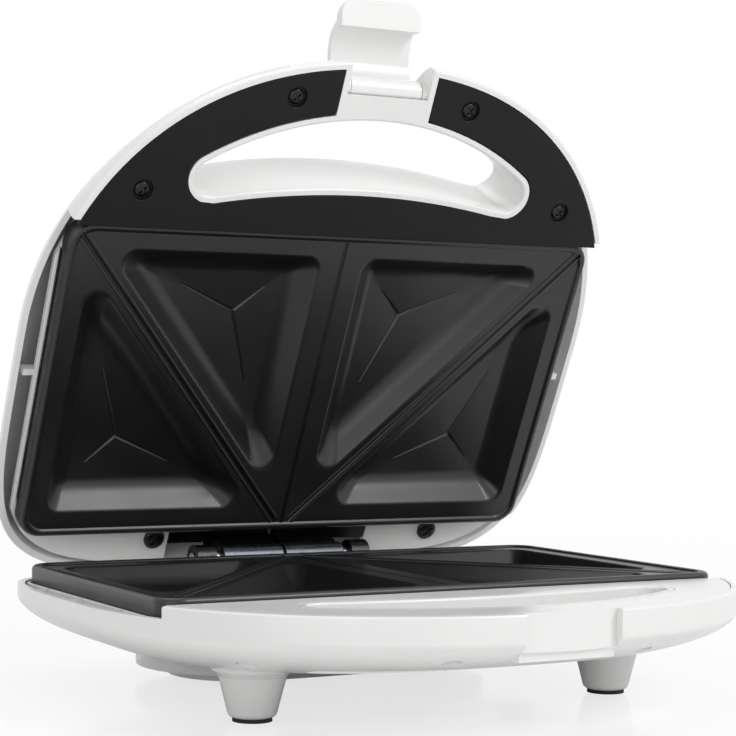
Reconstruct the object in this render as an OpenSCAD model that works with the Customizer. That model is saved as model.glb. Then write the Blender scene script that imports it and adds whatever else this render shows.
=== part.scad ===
// Sandwich toaster: a countertop cooker for two sandwiches, with its lid hinged at the back.
//
// Every piece is modelled from the middle of a datum line near the plates' back edge, level
// with the rim of the base plate, with the lid shut and latched. X runs across, Y runs back and Z runs up.
// The lid and the latch are then swung open about their pins, and the whole part is set
// down with its feet on Z = 0.

/* [Plates] */
// Width of a cooking plate
plate_w = 218; // [204:1:222]
// Distance from the datum line to the plates' front edge
plate_d = 122; // [116:1:126]
// How far the plates reach back beyond the datum line
plate_over = 4.4; // [3.4:0.2:4.8]
// Corner radius of a plate
plate_r = 8.5; // [7:0.5:10]
// Depth of the skirt around a plate
skirt_h = 7; // [6:0.5:8]
// Thickness of the cast metal
cast_t = 2.2; // [1.8:0.1:2.6]
// Width of the raised rim
rim_w = 3; // [2.4:0.2:4]
// Height of the rim above the field between the pockets
rim_h = 1; // [0.6:0.1:1.6]
// Depth of a pocket where its wall meets its floor
pocket_h = 8.4; // [6:0.2:9]
// How much deeper the floor is in the middle
pocket_dip = 1.4; // [1:0.2:3.4]
// How far a pocket's wall leans in
pocket_lean = 7; // [4:0.5:9]
// Corner radius of a pocket
pocket_r = 6; // [6:0.5:10]
// Field between a pocket and the plate's side
side_field = 9; // [8:0.5:12]
// Field between a pocket and the plate's front edge
front_field = 9.8; // [8:0.2:11]
// Field between a pocket and the plate's back edge
back_field = 10.4; // [9:0.2:12]
// Field on each side of the middle line
middle_field = 9; // [8:0.5:12]
// Field on each side of a diagonal
diagonal_field = 4.5; // [4:0.5:8]
// Width of the cutting groove along the middle and the diagonals
groove_w = 2.4; // [1.6:0.2:3]

/* [Shells] */
// Room between the plates and the outside of the shells at each side
side_room = 10.5; // [10:0.25:14.5]
// Distance from the plates' front edge to the front of the handle
handle_reach = 67; // [66:0.5:73]
// Distance from the datum line to the back of the lid
back_room = 26; // [25.5:0.1:28]
// How far the base stops short of the lid at the back
base_short = 3; // [2.4:0.1:3.4]
// Distance from the plates' front edge back to the widest line
widest_in = 47; // [46:0.5:49]
// Fullness of the front curve, where 2 is an ellipse
front_full = 2.2; // [2.18:0.02:2.5]
// Fullness of the back curve, where 2 is an ellipse
back_full = 5.2; // [4.8:0.1:5.8]
// Thickness of the moulded walls
wall = 2.2; // [1.8:0.1:2.3]
// Thickness of the covers and decks
sheet_t = 2.4; // [2:0.1:2.8]
// Height of the upright band around the base
base_band = 8.5; // [8:0.5:10]
// Height of the curved belly under that band
belly_h = 15.5; // [15:0.5:20]
// How far the belly draws in at the sides
belly_side = 36; // [30:1:42]
// How far the belly draws in at the front
belly_front = 57; // [45:1:62]
// How far the belly draws in at the back
belly_back = 15; // [10:1:16]
// Height of the upright band around the front of the lid
lid_band = 4; // [3.5:0.5:5]
// Height of the dome above that band
dome_h = 30.5; // [29:0.5:38]
// Height above that band at which the sides of the lid begin to draw in
side_rise = 6.5; // [6:0.5:8]
// How far the dome draws in at the sides
dome_side = 50; // [40:1:54]
// How far the dome draws in at the front
dome_front = 60; // [50:1:64]
// How far the dome draws in at the back
dome_back = 20; // [14:1:24]
// How far the base handle's top lies below the base plate's rim
handle_drop = 2; // [1.6:0.1:3]
// How far the shells' side rims lie below the rim of their plate
rim_drop = 6; // [5.5:0.1:6.4]
// How far the handle panel stands proud of the lid plate's rim
panel_proud = 3.5; // [3:0.1:3.6]

/* [Handle] */
// Width of the grip bar in front of the hand opening
grip_w = 21.4; // [20.5:0.1:22.5]
// Distance from the plates to the hand opening
hole_gap = 19.3; // [18:0.1:20]
// Radius of the opening's front edge
hole_front_r = 119; // [112:1:126]
// Radius of the opening's back edge
hole_back_r = 306; // [280:1:360]
// Radius of the opening's round ends
hole_tip_r = 7; // [6.5:0.1:8]
// Thickness of the lip around the opening
lip_t = 2.4; // [2:0.1:2.8]

/* [Hinge] */
// Angle that the lid stands open
lid_open = 64; // [0:1:98]
// Distance from the datum line to the hinge pin
hinge_y = 13.5; // [13:0.25:14]
// Depth of the hinge pin below the base plate's rim
hinge_drop = 2; // [1.5:0.1:2.5]
// Gap between the rims of the shut plates
lid_gap = 2.5; // [2.4:0.1:3]
// Radius of the hinge pin
hinge_pin_r = 2.5; // [2:0.1:2.8]
// Radius of the hinge sleeves
sleeve_r = 5; // [4.4:0.1:5.4]
// Length of one hinge sleeve
sleeve_l = 26.3; // [22:0.1:26.6]
// Width of one knuckle of the base
knuckle_w = 8; // [6:0.5:8.5]

/* [Latch] */
// Width of the latch clip
clip_w = 32.5; // [28:0.5:32.5]
// Thickness of the clip's wall
clip_t = 2.5; // [2:0.1:2.8]
// Distance from the latch pin to the tip of the clip
clip_l = 32; // [30:0.5:34]
// Height of the clip's finger lip
lip_h = 10; // [9:0.2:10.4]
// Thickness of the clip's finger lip
lip_in = 2.6; // [2.2:0.1:3]
// Corner radius of the finger lip
lip_r = 6; // [4:0.5:7]
// Distance from the front of the lid to the latch pin
clip_pin_in = 11; // [10.8:0.1:11.4]
// Height of the latch pin above the handle panel's face
clip_pin_up = 5.4; // [5.3:0.1:5.8]
// Radius of the clip's barrel
barrel_r = 4; // [3.6:0.1:4.1]
// Length of the clip's barrel
barrel_w = 29.3; // [26:0.1:30]
// Radius of the latch pin
clip_pin_r = 1.5; // [1.2:0.1:1.8]
// Angle that the clip stands open
clip_open = 116; // [0:1:120]
// Width of the recess that the clip sits in
recess_w = 33.5; // [33.5:0.5:37]

/* [Feet and cord storage] */
// Height of the base plate's rim above the table
stand_h = 43; // [42:0.5:48]
// Distance between the front feet
foot_span = 141; // [120:1:146]
// Distance from the plates' front edge back to the front feet
foot_in = 15; // [12:1:22]
// Radius of a foot where it meets the belly
foot_top_r = 12.4; // [10:0.2:13]
// Radius of a foot at the bottom
foot_low_r = 7.8; // [7:0.2:9]
// Thickness of the foot pads
pad_t = 1.3; // [1:0.1:2]
// Width of the cord storage flange
wrap_w = 140; // [120:1:144]
// Depth of the cord storage flange
wrap_d = 76; // [60:1:76]
// Width of the groove that the cord winds into
wrap_groove = 7; // [6:0.5:8]
// Radius of the hole that the cord passes through
gland_r = 3.2; // [2.8:0.1:3.6]

/* [Placement] */
// Distance from the origin back to the datum line
plates_back = 72.4; // [60:0.1:90]

/* [Hidden] */

$fn = 48;
big = 400;              // longer than the whole part, for cuts
fit = 0.05;             // radial clearance of a pin or screw in its hole
gap = 0.3;              // clearance between pieces that only lie beside each other
outline_steps = 56;     // points around the shells' outline
slice_step = 15;        // degrees between the slices of a shell's curve
skin = 0.2;             // thickness of one slice

white = "whitesmoke";
black = "#262626";
dark_metal = "#4a4c50";
steel = "silver";

// Levels, measured from the base plate's rim
handle_z = -handle_drop;
base_rim_z = -rim_drop;
crease_z = handle_z - base_band;
floor_z = crease_z - belly_h;
panel_z = lid_gap - panel_proud;
lid_rim_z = lid_gap + rim_drop;
lid_crease_z = panel_z + lid_band;
top_z = lid_crease_z + dome_h;
pad_top_z = pad_t - stand_h;

// Outline, from the plates
body_w = plate_w + 2 * side_room;
widest_y = plate_d - widest_in;
front_reach = handle_reach + widest_in;
back_reach = widest_y + back_room;
front_y = -plate_d - handle_reach;
handle_y = -plate_d - 2.4;                      // where the shells' handle walls begin
foot_y = plate_d - foot_in;

base_lean = [belly_side, belly_front, belly_back];
dome_lean = [dome_side, dome_front, dome_back];
belly_full = 1.6;       // fullness of the belly's curve, where 2 is an ellipse
dome_full = 1.3;        // fullness of the dome's curve at the front
dome_side_full = 1.8;   // fullness of the dome's curve at the sides and the back

hole_front_y = front_y + grip_w;
hole_back_y = -plate_d - hole_gap;

// Ring around a plate
ring_gap = 0.7;
ring_t = 1.1;
ring_out = ring_gap + ring_t;
sheet_back_y = -plate_d - ring_gap;             // where the handle's sheets meet the plates
deck_z = -rim_drop - 0.5;
lug_t = 2;
lug_z = -skirt_h - lug_t;
corner_in = 5.5;                                // plate screws in from the plate's edges
corner_points = [for (x = [-1, 1], y = [plate_over - corner_in, corner_in - plate_d])
                 [x * (plate_w / 2 - corner_in), y]];

// Fasteners
screw_r = 1.4;
plate_screw_r = 1.3;
head_r = 3;
panel_recess_r = 3.8;
panel_tip_z = 6.5;
frame_seats = [-13.5, -16.5];                   // where the handle screws' heads sit
post_r = 4.2;
back_point = [61, 11];                          // the base's screws behind the plates
lid_back_points = [[-50, 11], [73, 11]];        // the lid's, which stand unevenly
back_seat_z = -18;

// Hinge
hinge_z = -hinge_drop;
hinge_slot = 58;                                // cut-out of the back walls for the hinge
deck_slot = 88;                                 // cut-out of the decks for the hinge
knuckle_r = sleeve_r + 0.5;
knuckle_x = sleeve_l + 3.5;
seat_z = -13;

// Latch
clip_y = front_y + clip_pin_in;
clip_z = panel_z + clip_pin_up;
notch_w = clip_w + 3;
notch_z = crease_z - 4;
notch_in = 4;
notch_back_y = front_y + notch_in + wall;
catch_in = clip_pin_in - 5.6;
catch_z = clip_z - clip_l + lip_h + 0.3;        // the clip's ledge grips below this level

// Heating
element_r = 2.75;
element_z = -rim_h - pocket_h - pocket_dip - cast_t - element_r - fit;
element_bend = 45;
bead_r = element_r + 0.8;
element_mid_y = -plate_d / 2;
reflector_t = 0.6;
reflector_z = element_z - bead_r - fit - reflector_t;
reflector_size = [124, plate_d - 18];
standoffs = [for (y = [-35, 35]) [54, element_mid_y + y]];
thermostat_r = 5.5;
thermostat_y = -max(back_field - 1, cast_t + thermostat_r + 0.5);

// Cord storage, behind the middle of the belly
wrap_y = -15;
wrap_t = 5;
wrap_foot_t = pad_top_z + stand_h;
wrap_screw_x = 26;
gland_at = [70, -50];
rear_pad = [42, wrap_y];
rear_pad_r = 8;
lamp_at = [9, 18 - plate_d];
lens_r = 4;

// ---------------------------------------------------------------- helpers

function unit(v) = v / norm(v);
function direction(v) = atan2(v[1], v[0]);
function normal(a, b) = unit([b[1] - a[1], a[0] - b[0]]);
function full(v, n) = sign(v) * pow(abs(v), 2 / n);

// The shells' outline seen from above, taken in at its sides, front and back
function outline(side, front, back) = [
    for (i = [0 : outline_steps - 1])
        let (a = 360 * i / outline_steps,
             n = sin(a) < 0 ? front_full : back_full,
             reach = sin(a) < 0 ? front_reach - front : back_reach - back)
        [(body_w / 2 - side) * full(cos(a), n), -widest_y + reach * full(sin(a), n)]];

// A rectangle with round corners, from its two opposite corners
function round_rectangle(low, high, r, n = 6) = [
    for (c = [[high[0] - r, high[1] - r, 0], [low[0] + r, high[1] - r, 90],
              [low[0] + r, low[1] + r, 180], [high[0] - r, low[1] + r, 270]])
        for (i = [0 : n])
            [c[0] + r * cos(c[2] + 90 * i / n), c[1] + r * sin(c[2] + 90 * i / n)]];

// A triangle, given anticlockwise, taken in by inset and with corners of radius r
function sides(t) = [norm(t[1] - t[2]), norm(t[2] - t[0]), norm(t[0] - t[1])];
function centre(t) = let (s = sides(t)) (s[0] * t[0] + s[1] * t[1] + s[2] * t[2])
                                        / (s[0] + s[1] + s[2]);
function inner_r(t) = let (s = sides(t), h = (s[0] + s[1] + s[2]) / 2)
    sqrt((h - s[0]) * (h - s[1]) * (h - s[2]) / h);
function turn(from, to) = (to - from + 720) % 360;
function round_triangle(t, inset, r, n = 5) = [
    for (k = [0 : 2])
        let (v = t[k], m = centre(t),
             c = m + (v - m) * (1 - (inset + r) / inner_r(t)),
             a = direction(normal(t[(k + 2) % 3], v)),
             b = direction(normal(v, t[(k + 1) % 3])))
        for (i = [0 : n])
            let (w = a + turn(a, b) * i / n) [c[0] + r * cos(w), c[1] + r * sin(w)]];

// The hand opening: a front arc and a back arc joined by round ends that touch both
hole_a = hole_front_y + hole_front_r;
hole_b = hole_back_y + hole_back_r;
tip_y = (hole_a ^ 2 - hole_b ^ 2 - (hole_front_r - hole_tip_r) ^ 2
         + (hole_back_r + hole_tip_r) ^ 2) / (2 * (hole_a - hole_b));
tip_x = sqrt((hole_front_r - hole_tip_r) ^ 2 - (tip_y - hole_a) ^ 2);
tip_turn = atan2(tip_x, hole_a - tip_y);
back_turn = atan2(tip_x, hole_b - tip_y);
panel_points = [[35.8, front_y + 14.9], [tip_x + hole_tip_r + 18.6, -plate_d - 14.4]];
function arc(c, r, a, b, n) = [
    for (i = [0 : n]) let (w = a + (b - a) * i / n) [c[0] + r * sin(w), c[1] - r * cos(w)]];
function hand_hole(grow) = concat(
    arc([0, hole_a], hole_front_r + grow, -tip_turn, tip_turn, 12),
    arc([tip_x, tip_y], hole_tip_r + grow, tip_turn + 15, 180 - back_turn - 15, 6),
    arc([0, hole_b], hole_back_r - grow, back_turn, -back_turn, 8),
    arc([-tip_x, tip_y], hole_tip_r + grow, 180 + back_turn + 15, 360 - tip_turn - 15, 6));

module both_sides() for (s = [0, 1]) mirror([s, 0, 0]) children();

module slab(points, low, high) translate([0, 0, low]) linear_extrude(high - low) polygon(points);

module rod(at, low, high, r) translate([at[0], at[1], low]) cylinder(h = high - low, r = r);

// A rod along X between two places, at [y, z]
module axle(at, left, right, r)
    translate([left, at[0], at[1]]) rotate([0, 90, 0]) cylinder(h = right - left, r = r);

module block(low, high) translate(low) cube(high - low);

// A closed form: an upright band from start to crease, then a curve that draws in towards
// its end. The sides and the back begin to draw in later, by rise.
function drawn_in(t, fullness) = 1 - pow(1 - pow(max(t, 0), fullness), 1 / fullness);
module form(inset, short, start, crease, end, rise, lean, fullness, side_full) {
    hull() {
        slab(outline(inset, inset, inset + short), min(start, crease), max(start, crease));
        for (a = [slice_step : slice_step : 90])
            let (z = crease + (end - crease) * sin(a),
                 k = drawn_in(sin(a), fullness),
                 q = drawn_in((z - crease - rise) / (end - crease - rise), side_full),
                 low = end > crease ? z - skin : z)
            slab(outline(inset + q * lean[0], inset + k * lean[1], inset + short + q * lean[2]),
                 low, low + skin);
    }
}

module base_form(inset, extra = 0)
    form(inset, base_short, handle_z + extra, crease_z, floor_z + inset, 0,
         base_lean, belly_full, belly_full);

module lid_form(inset, extra = 0)
    form(inset, 0, panel_z - extra, lid_crease_z, top_z - inset, side_rise,
         dome_lean, dome_full, dome_side_full);

// Places: on the table, on the lid and on the latch
module in_base() translate([0, plates_back, stand_h]) children();

module in_lid()
    in_base() translate([0, hinge_y, hinge_z]) rotate([-lid_open, 0, 0])
        translate([0, -hinge_y, -hinge_z]) children();

module in_latch()
    in_lid() translate([0, clip_y, clip_z]) rotate([-clip_open, 0, 0])
        translate([0, -clip_y, -clip_z]) children();

// What belongs to the lid's plate is the base's turned over
module over() translate([0, 0, lid_gap]) mirror([0, 0, 1]) children();

// ---------------------------------------------------------------- plates

// The right diagonal runs from the middle of the back edge to the front corner
diagonal_start = [0, plate_over];
diagonal = [plate_w / 2 - rim_w, rim_w - plate_d] - diagonal_start;
diagonal_n = unit([diagonal[1], -diagonal[0]]);             // square to it, inwards

// Where a line parallel to the diagonal, shifted by d, has a given x or y
function diagonal_y(x, d) = let (n = diagonal_n) plate_over + (d - n[0] * x) / n[1];
function diagonal_x(y, d) = let (n = diagonal_n) (d - n[1] * (y - plate_over)) / n[0];

front_pocket = let (x = middle_field, y = front_field - plate_d, d = diagonal_field)
    [[x, y], [diagonal_x(y, d), y], [x, diagonal_y(x, d)]];
side_pocket = let (x = plate_w / 2 - side_field, y = plate_over - back_field, d = -diagonal_field)
    [[x, diagonal_y(x, d)], [x, y], [diagonal_x(y, d), y]];

// A pocket as a solid: its mouth at the top, its floor dipping to the middle
module pocket(t, grow, top, drop) {
    mouth = round_triangle(t, -grow, pocket_r);
    foot = round_triangle(t, pocket_lean - grow, pocket_r - pocket_lean / 2);
    n = len(mouth);
    m = centre(t);
    foot_z = -rim_h - pocket_h - drop;
    polyhedron(
        points = concat([for (p = mouth) [p[0], p[1], top]],
                        [for (p = foot) [p[0], p[1], foot_z]],
                        [[m[0], m[1], foot_z - pocket_dip]]),
        faces = concat([[for (i = [n - 1 : -1 : 0]) i]],
                       [for (i = [0 : n - 1]) [i, (i + 1) % n, n + (i + 1) % n]],
                       [for (i = [0 : n - 1]) [i, n + (i + 1) % n, n + i]],
                       [for (i = [0 : n - 1]) [n + i, n + (i + 1) % n, 2 * n]]));
}

module pockets(grow, top, drop)
    both_sides() {
        pocket(front_pocket, grow, top, drop);
        pocket(side_pocket, grow, top, drop);
    }

module plate_plan(inset, low, high)
    slab(round_rectangle([inset - plate_w / 2, inset - plate_d],
                         [plate_w / 2 - inset, plate_over - inset], plate_r - inset / 2), low, high);

module grooves() {
    deep = 0.8;
    length = norm(diagonal);
    translate([-groove_w / 2, rim_w - plate_d, -rim_h - deep])
        cube([groove_w, plate_d + plate_over - 2 * rim_w, big]);
    both_sides() translate(diagonal_start) rotate(direction(diagonal))
        translate([rim_w, -groove_w / 2, -rim_h - deep]) cube([length - rim_w, groove_w, big]);
}

module cooking_plate() {
    difference() {
        union() {
            difference() {
                plate_plan(0, -skirt_h, 0);
                plate_plan(rim_w, -rim_h, 1);
                plate_plan(cast_t, -skirt_h - 1, -rim_h - cast_t);
            }
            intersection() {
                plate_plan(cast_t / 2, -big, -rim_h - cast_t / 2);
                pockets(cast_t, -rim_h - cast_t / 2, cast_t);
            }
            intersection() {
                plate_plan(cast_t / 2, -skirt_h, -rim_h - cast_t / 2);
                for (p = corner_points) rod(p, -skirt_h, 0, 3.6);
            }
        }
        pockets(0, 1, 0);
        grooves();
        for (p = corner_points) rod(p, -skirt_h - 1, -rim_h - cast_t, plate_screw_r + fit);
    }
}

module base_plate() color(black) in_base() cooking_plate();

module lid_plate() color(black) in_lid() over() cooking_plate();

module plate_screws() {
    for (p = corner_points) {
        rod(p, lug_z, -rim_h - cast_t - 0.6, plate_screw_r);
        rod(p, lug_z - 1.8, lug_z, 2.8);
    }
}

module base_plate_screws() color(steel) in_base() plate_screws();

module lid_plate_screws() color(steel) in_lid() over() plate_screws();

// ---------------------------------------------------------------- heating

// A tubular heater: a half ring at the front and two legs to the back
module element_tube() {
    translate([0, element_mid_y, element_z]) {
        difference() {
            rotate_extrude() translate([element_bend, 0]) circle(element_r);
            translate([-big / 2, 0, -big / 2]) cube(big);
        }
        both_sides() translate([element_bend, 0, 0]) rotate([-90, 0, 0])
            cylinder(h = -element_mid_y - back_field - 6, r = element_r);
    }
}

// Ceramic beads that close the ends of a heater, each with its terminal pin
module element_beads()
    both_sides() translate([element_bend, -back_field - 6, element_z]) rotate([-90, 0, 0]) {
        cylinder(h = 6, r = bead_r);
        translate([0, 0, 6]) cylinder(h = 5, r = 1.1);
    }

// A thin sheet below a heater, its edge turned down to stiffen it
module reflector() {
    half = reflector_size / 2;
    inner = half - [reflector_t, reflector_t];
    middle = [0, element_mid_y];
    difference() {
        slab(round_rectangle(middle - half, middle + half, 12),
             reflector_z - 1.4, reflector_z + reflector_t);
        slab(round_rectangle(middle - inner, middle + inner, 12 - reflector_t), -big, reflector_z);
    }
}

module base_element() color(dark_metal) in_base() element_tube();

module lid_element() color(dark_metal) in_lid() over() element_tube();

module base_element_beads() color("ivory") in_base() element_beads();

module lid_element_beads() color("ivory") in_lid() over() element_beads();

module base_reflector() color(steel) in_base() reflector();

module lid_reflector() color(steel) in_lid() over() reflector();

// A disc thermostat held against the back of the plate
module thermostat() {
    top = -rim_h - cast_t - gap / 2;
    rod([0, thermostat_y], top - 5, top, thermostat_r);
    rod([0, thermostat_y], top - 8, top - 5, thermostat_r - 2);
}

module base_thermostat() color("ivory") in_base() thermostat();

module lid_thermostat() color("ivory") in_lid() over() thermostat();

module thermal_fuse()
    color("beige") in_base() axle([plate_over - cast_t - 2.3, -rim_h - cast_t - 1.8 - gap / 2],
                                  30, 50, 1.8);

module terminal_block() {
    top = deck_z - sheet_t;
    y = plate_over + ring_out + gap;
    color("ivory") in_base() difference() {
        block([68, y, top - 6.5], [88, y + 6, top]);
        for (x = [71.5, 78, 84.5]) rod([x, y + 3], top - 8, top - 2, 1.8);
    }
}

// ---------------------------------------------------------------- base

module hole_through(grow) slab(hand_hole(grow), -big, big);

// What fills the front wall behind the latch's notch
module notch_block()
    block([-notch_w / 2 - wall, front_y, floor_z], [notch_w / 2 + wall, notch_back_y, handle_z]);

module base_posts() {
    both_sides() {
        for (p = panel_points) rod(p, floor_z, -8, post_r);
        rod(back_point, floor_z, seat_z, post_r);
        for (p = standoffs) rod(p, floor_z, reflector_z, 3);
        block([knuckle_x - 2, hinge_y - 6, floor_z],
              [knuckle_x + knuckle_w + 2, hinge_y + 6, seat_z]);
        rod([wrap_screw_x, wrap_y], floor_z, floor_z + 4, post_r);
    }
}

module frame_screw_holes() {
    both_sides() {
        for (i = [0, 1]) {
            rod(panel_points[i], -big, 0, screw_r + 0.2);
            rod(panel_points[i], -big, frame_seats[i], head_r + 0.3);
        }
        rod(back_point, -big, 0, screw_r + 0.2);
        rod(back_point, -big, back_seat_z, head_r + 0.3);
    }
}

module base_shell()
    color(white) in_base() difference() {
        union() {
            difference() {
                union() {
                    base_form(0);
                    both_sides() translate([foot_span / 2, -foot_y, pad_top_z])
                        cylinder(h = floor_z + wall - pad_top_z, r1 = foot_low_r, r2 = foot_top_r);
                }
                base_form(wall, 1);
            }
            intersection() {
                base_form(wall / 2);
                union() {
                    base_posts();
                    notch_block();
                    slab(hand_hole(lip_t), floor_z, handle_z);
                }
            }
            block([-notch_w / 2, front_y + catch_in, catch_z],
                  [notch_w / 2, front_y + catch_in + 5, crease_z]);
        }
        hole_through(0);
        block([-big, handle_y, base_rim_z], [big, big, big]);
        block([-notch_w / 2, front_y - 1, notch_z], [notch_w / 2, front_y + notch_in, big]);
        block([-hinge_slot / 2, hinge_y + 4, seat_z], [hinge_slot / 2, big, big]);
        frame_screw_holes();
        both_sides() rod([wrap_screw_x, wrap_y], -big, floor_z + 3.4, screw_r + fit);
        rod(gland_at, -big, 0, gland_r + 1.3);
    }

// The handle's cover sheet, between two levels: it stops short of the notch or recess
module handle_sheet(low, high, slot_w, slot_y)
    difference() {
        intersection() {
            slab(outline(wall + gap, wall + gap, wall + gap), low, high);
            block([-big, -big, low], [big, sheet_back_y, high]);
        }
        slab(hand_hole(lip_t + gap), low - 1, high + 1);
        block([-slot_w / 2, -big, low - 1], [slot_w / 2, slot_y, high + 1]);
    }

// The ring around a plate, with a lug under each corner of the plate
module ring_plan(grow, low, high)
    slab(round_rectangle([-plate_w / 2 - grow, -plate_d - grow],
                         [plate_w / 2 + grow, plate_over + grow], plate_r + grow), low, high);

module ring(low, high)
    difference() {
        ring_plan(ring_out, low, high);
        ring_plan(ring_gap, low - 1, high + 1);
    }

// The front of the ring is taller, and meets the handle
module plate_ring(low, front_high) {
    ring(low, deck_z);
    intersection() {
        ring(low, front_high);
        block([-big, -big, -big], [big, sheet_back_y, big]);
    }
    intersection() {
        ring_plan(ring_out - ring_t / 2, lug_z, -skirt_h);
        for (p = corner_points) rod(p, lug_z, -skirt_h, 9);
    }
}

// Ribs across the channel beside the plate, and the deck behind it
module ribs_and_deck(rib_ys, rib_t, deck, inset, back)
    intersection() {
        slab(outline(inset, inset, back), -big, big);
        union() {
            both_sides() {
                for (y = rib_ys)
                    block([plate_w / 2 + ring_gap, y - rib_t / 2, crease_z],
                          [big, y + rib_t / 2, deck_z]);
                difference() {
                    block([deck_slot / 2, plate_over + ring_gap, deck - sheet_t], [big, big, deck]);
                    block([-big, hinge_y + 4, deck - big], [hinge_slot / 2, big, big]);
                }
            }
        }
    }

module base_top_frame() {
    low = handle_z - sheet_t;
    color(white) in_base() difference() {
        union() {
            handle_sheet(low, handle_z, notch_w + 2 * (wall + gap), notch_back_y + gap);
            intersection() {
                plate_ring(crease_z, handle_z);
                slab(outline(wall + gap, wall + gap, wall + gap + base_short), -big, big);
            }
            ribs_and_deck([-25, -58, -93], 1.6, deck_z, wall + gap, wall + gap + base_short);
            both_sides() {
                for (p = panel_points) rod(p, -8, low + 0.5, post_r);
                rod(back_point, seat_z, deck_z - 0.5, post_r);
            }
        }
        for (p = corner_points) rod(p, -big, 0, plate_screw_r + 0.3);
        both_sides() {
            for (p = panel_points) rod(p, -9, handle_z - 1, screw_r + fit);
            rod(back_point, seat_z - 1, deck_z - 1, screw_r + fit);
        }
    }
}

module frame_screw(at, seat, tip) {
    rod(at, seat, tip, screw_r);
    rod(at, seat - 2, seat, head_r);
}

module base_frame_screws()
    color(steel) in_base() both_sides() {
        for (i = [0, 1]) frame_screw(panel_points[i], frame_seats[i], handle_z - 1.4);
        frame_screw(back_point, back_seat_z, deck_z - 1.4);
    }

module cord_gland()
    color(black) in_base() difference() {
        union() {
            rod(gland_at, floor_z - 2.5, floor_z, gland_r + 3.3);
            rod(gland_at, floor_z - 1, floor_z + wall + 1, gland_r + 1.3 - fit);
            rod(gland_at, floor_z + wall, floor_z + wall + 1.2, gland_r + 2.8);
        }
        rod(gland_at, -big, 0, gland_r);
    }

// A form with straight sides and round ends
module lozenge(w, d, low, high)
    translate([0, wrap_y, low]) linear_extrude(high - low) union() {
        square([w - d, d], center = true);
        for (s = [-1, 1]) translate([s * (w - d) / 2, 0]) circle(d / 2);
    }

module cord_wrap() {
    under = floor_z - wrap_groove;
    color(white) in_base() difference() {
        union() {
            lozenge(wrap_w - 40, wrap_d - 32, under, floor_z);
            lozenge(wrap_w, wrap_d, under - wrap_t, under);
            lozenge(wrap_w - 24, wrap_d - 24, pad_top_z, under - wrap_t);
        }
        both_sides() {
            rod([wrap_screw_x, wrap_y], -big, 0, screw_r + 0.2);
            rod([wrap_screw_x, wrap_y], -big, floor_z - 6, head_r + 0.3);
        }
    }
}

module cord_wrap_screws()
    color(steel) in_base() both_sides()
        frame_screw([wrap_screw_x, wrap_y], floor_z - 6, floor_z + 3);

module foot_pads()
    color(black) in_base() both_sides() {
        rod([foot_span / 2, -foot_y], -stand_h, pad_top_z, foot_low_r - 1.2);
        rod(rear_pad, -stand_h, pad_top_z, rear_pad_r);
    }

module hinge_brackets()
    color(black) in_base() both_sides() difference() {
        union() {
            axle([hinge_y, hinge_z], knuckle_x, knuckle_x + knuckle_w, knuckle_r);
            block([knuckle_x, hinge_y - knuckle_r + 1, seat_z],
                  [knuckle_x + knuckle_w, hinge_y + knuckle_r - 1, hinge_z]);
        }
        axle([hinge_y, hinge_z], knuckle_x - 1, knuckle_x + knuckle_w + 1, hinge_pin_r + fit);
    }

module hinge_pin()
    color(steel) in_base()
        axle([hinge_y, hinge_z], -knuckle_x - knuckle_w - 0.5, knuckle_x + knuckle_w + 0.5, hinge_pin_r);

// ---------------------------------------------------------------- lid

lid_deck_z = lid_gap + 8;                       // the lid's deck lies higher, clear of the base
lid_inset = wall + gap + 1.6;                   // clear of the dome, up to the deck
corner_trim = 13;                               // clear of the dome in front of the ring
recess_y = clip_y + barrel_r + 0.6;
recess_edge_y = clip_y + 1.2;                   // the recess is open at its front up to here
recess_lip = 1;                                 // thickness of the lip behind that
panel_back_z = panel_z + sheet_t;

module latch_ears()
    both_sides() axle([clip_y, clip_z], barrel_w / 2 + gap, recess_w / 2 + 1, barrel_r);

hinge_seat_z = lid_deck_z + 1.5;                // where the hinge leaves lie against the lid

module lid_posts() {
    for (p = lid_back_points) rod(p, lid_deck_z + sheet_t, top_z, post_r);
    both_sides() {
        rod(panel_points[0], panel_back_z, top_z, post_r);
        rod(panel_points[1], panel_back_z + 2, top_z, post_r);
        for (p = standoffs) rod(p, lid_gap - reflector_z, top_z, 3);
        block([4, hinge_y - 5.5, hinge_seat_z], [24, hinge_y + 5.5, top_z]);
    }
}

module lid_shell()
    color(white) in_lid() difference() {
        union() {
            difference() {
                lid_form(0);
                lid_form(wall, 1);
            }
            intersection() {
                lid_form(wall / 2);
                union() {
                    lid_posts();
                    block([-recess_w / 2 - wall, front_y, panel_z],
                          [recess_w / 2 + wall, hole_front_y, top_z]);
                    slab(hand_hole(lip_t), panel_z, top_z);
                }
            }
        }
        hole_through(0);
        difference() {
            union() {
                block([-recess_w / 2, -big, panel_z + recess_lip], [recess_w / 2, recess_y, big]);
                block([-recess_w / 2, -big, -big], [recess_w / 2, recess_edge_y, big]);
            }
            latch_ears();
        }
        axle([clip_y, clip_z], -recess_w / 2 - 1.2, recess_w / 2 + 1.2, clip_pin_r + fit);
        block([-big, handle_y, -big], [big, big, lid_rim_z]);
        block([-big, ring_out + 2, -big], [big, big, lid_deck_z]);
        for (p = lid_back_points) rod(p, 0, lid_deck_z + 8, screw_r + fit);
        both_sides() {
            for (p = panel_points) rod(p, 0, panel_tip_z + 1, screw_r + fit);
            rod(lamp_at, top_z - wall - 1, big, lens_r + fit);
        }
    }

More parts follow.
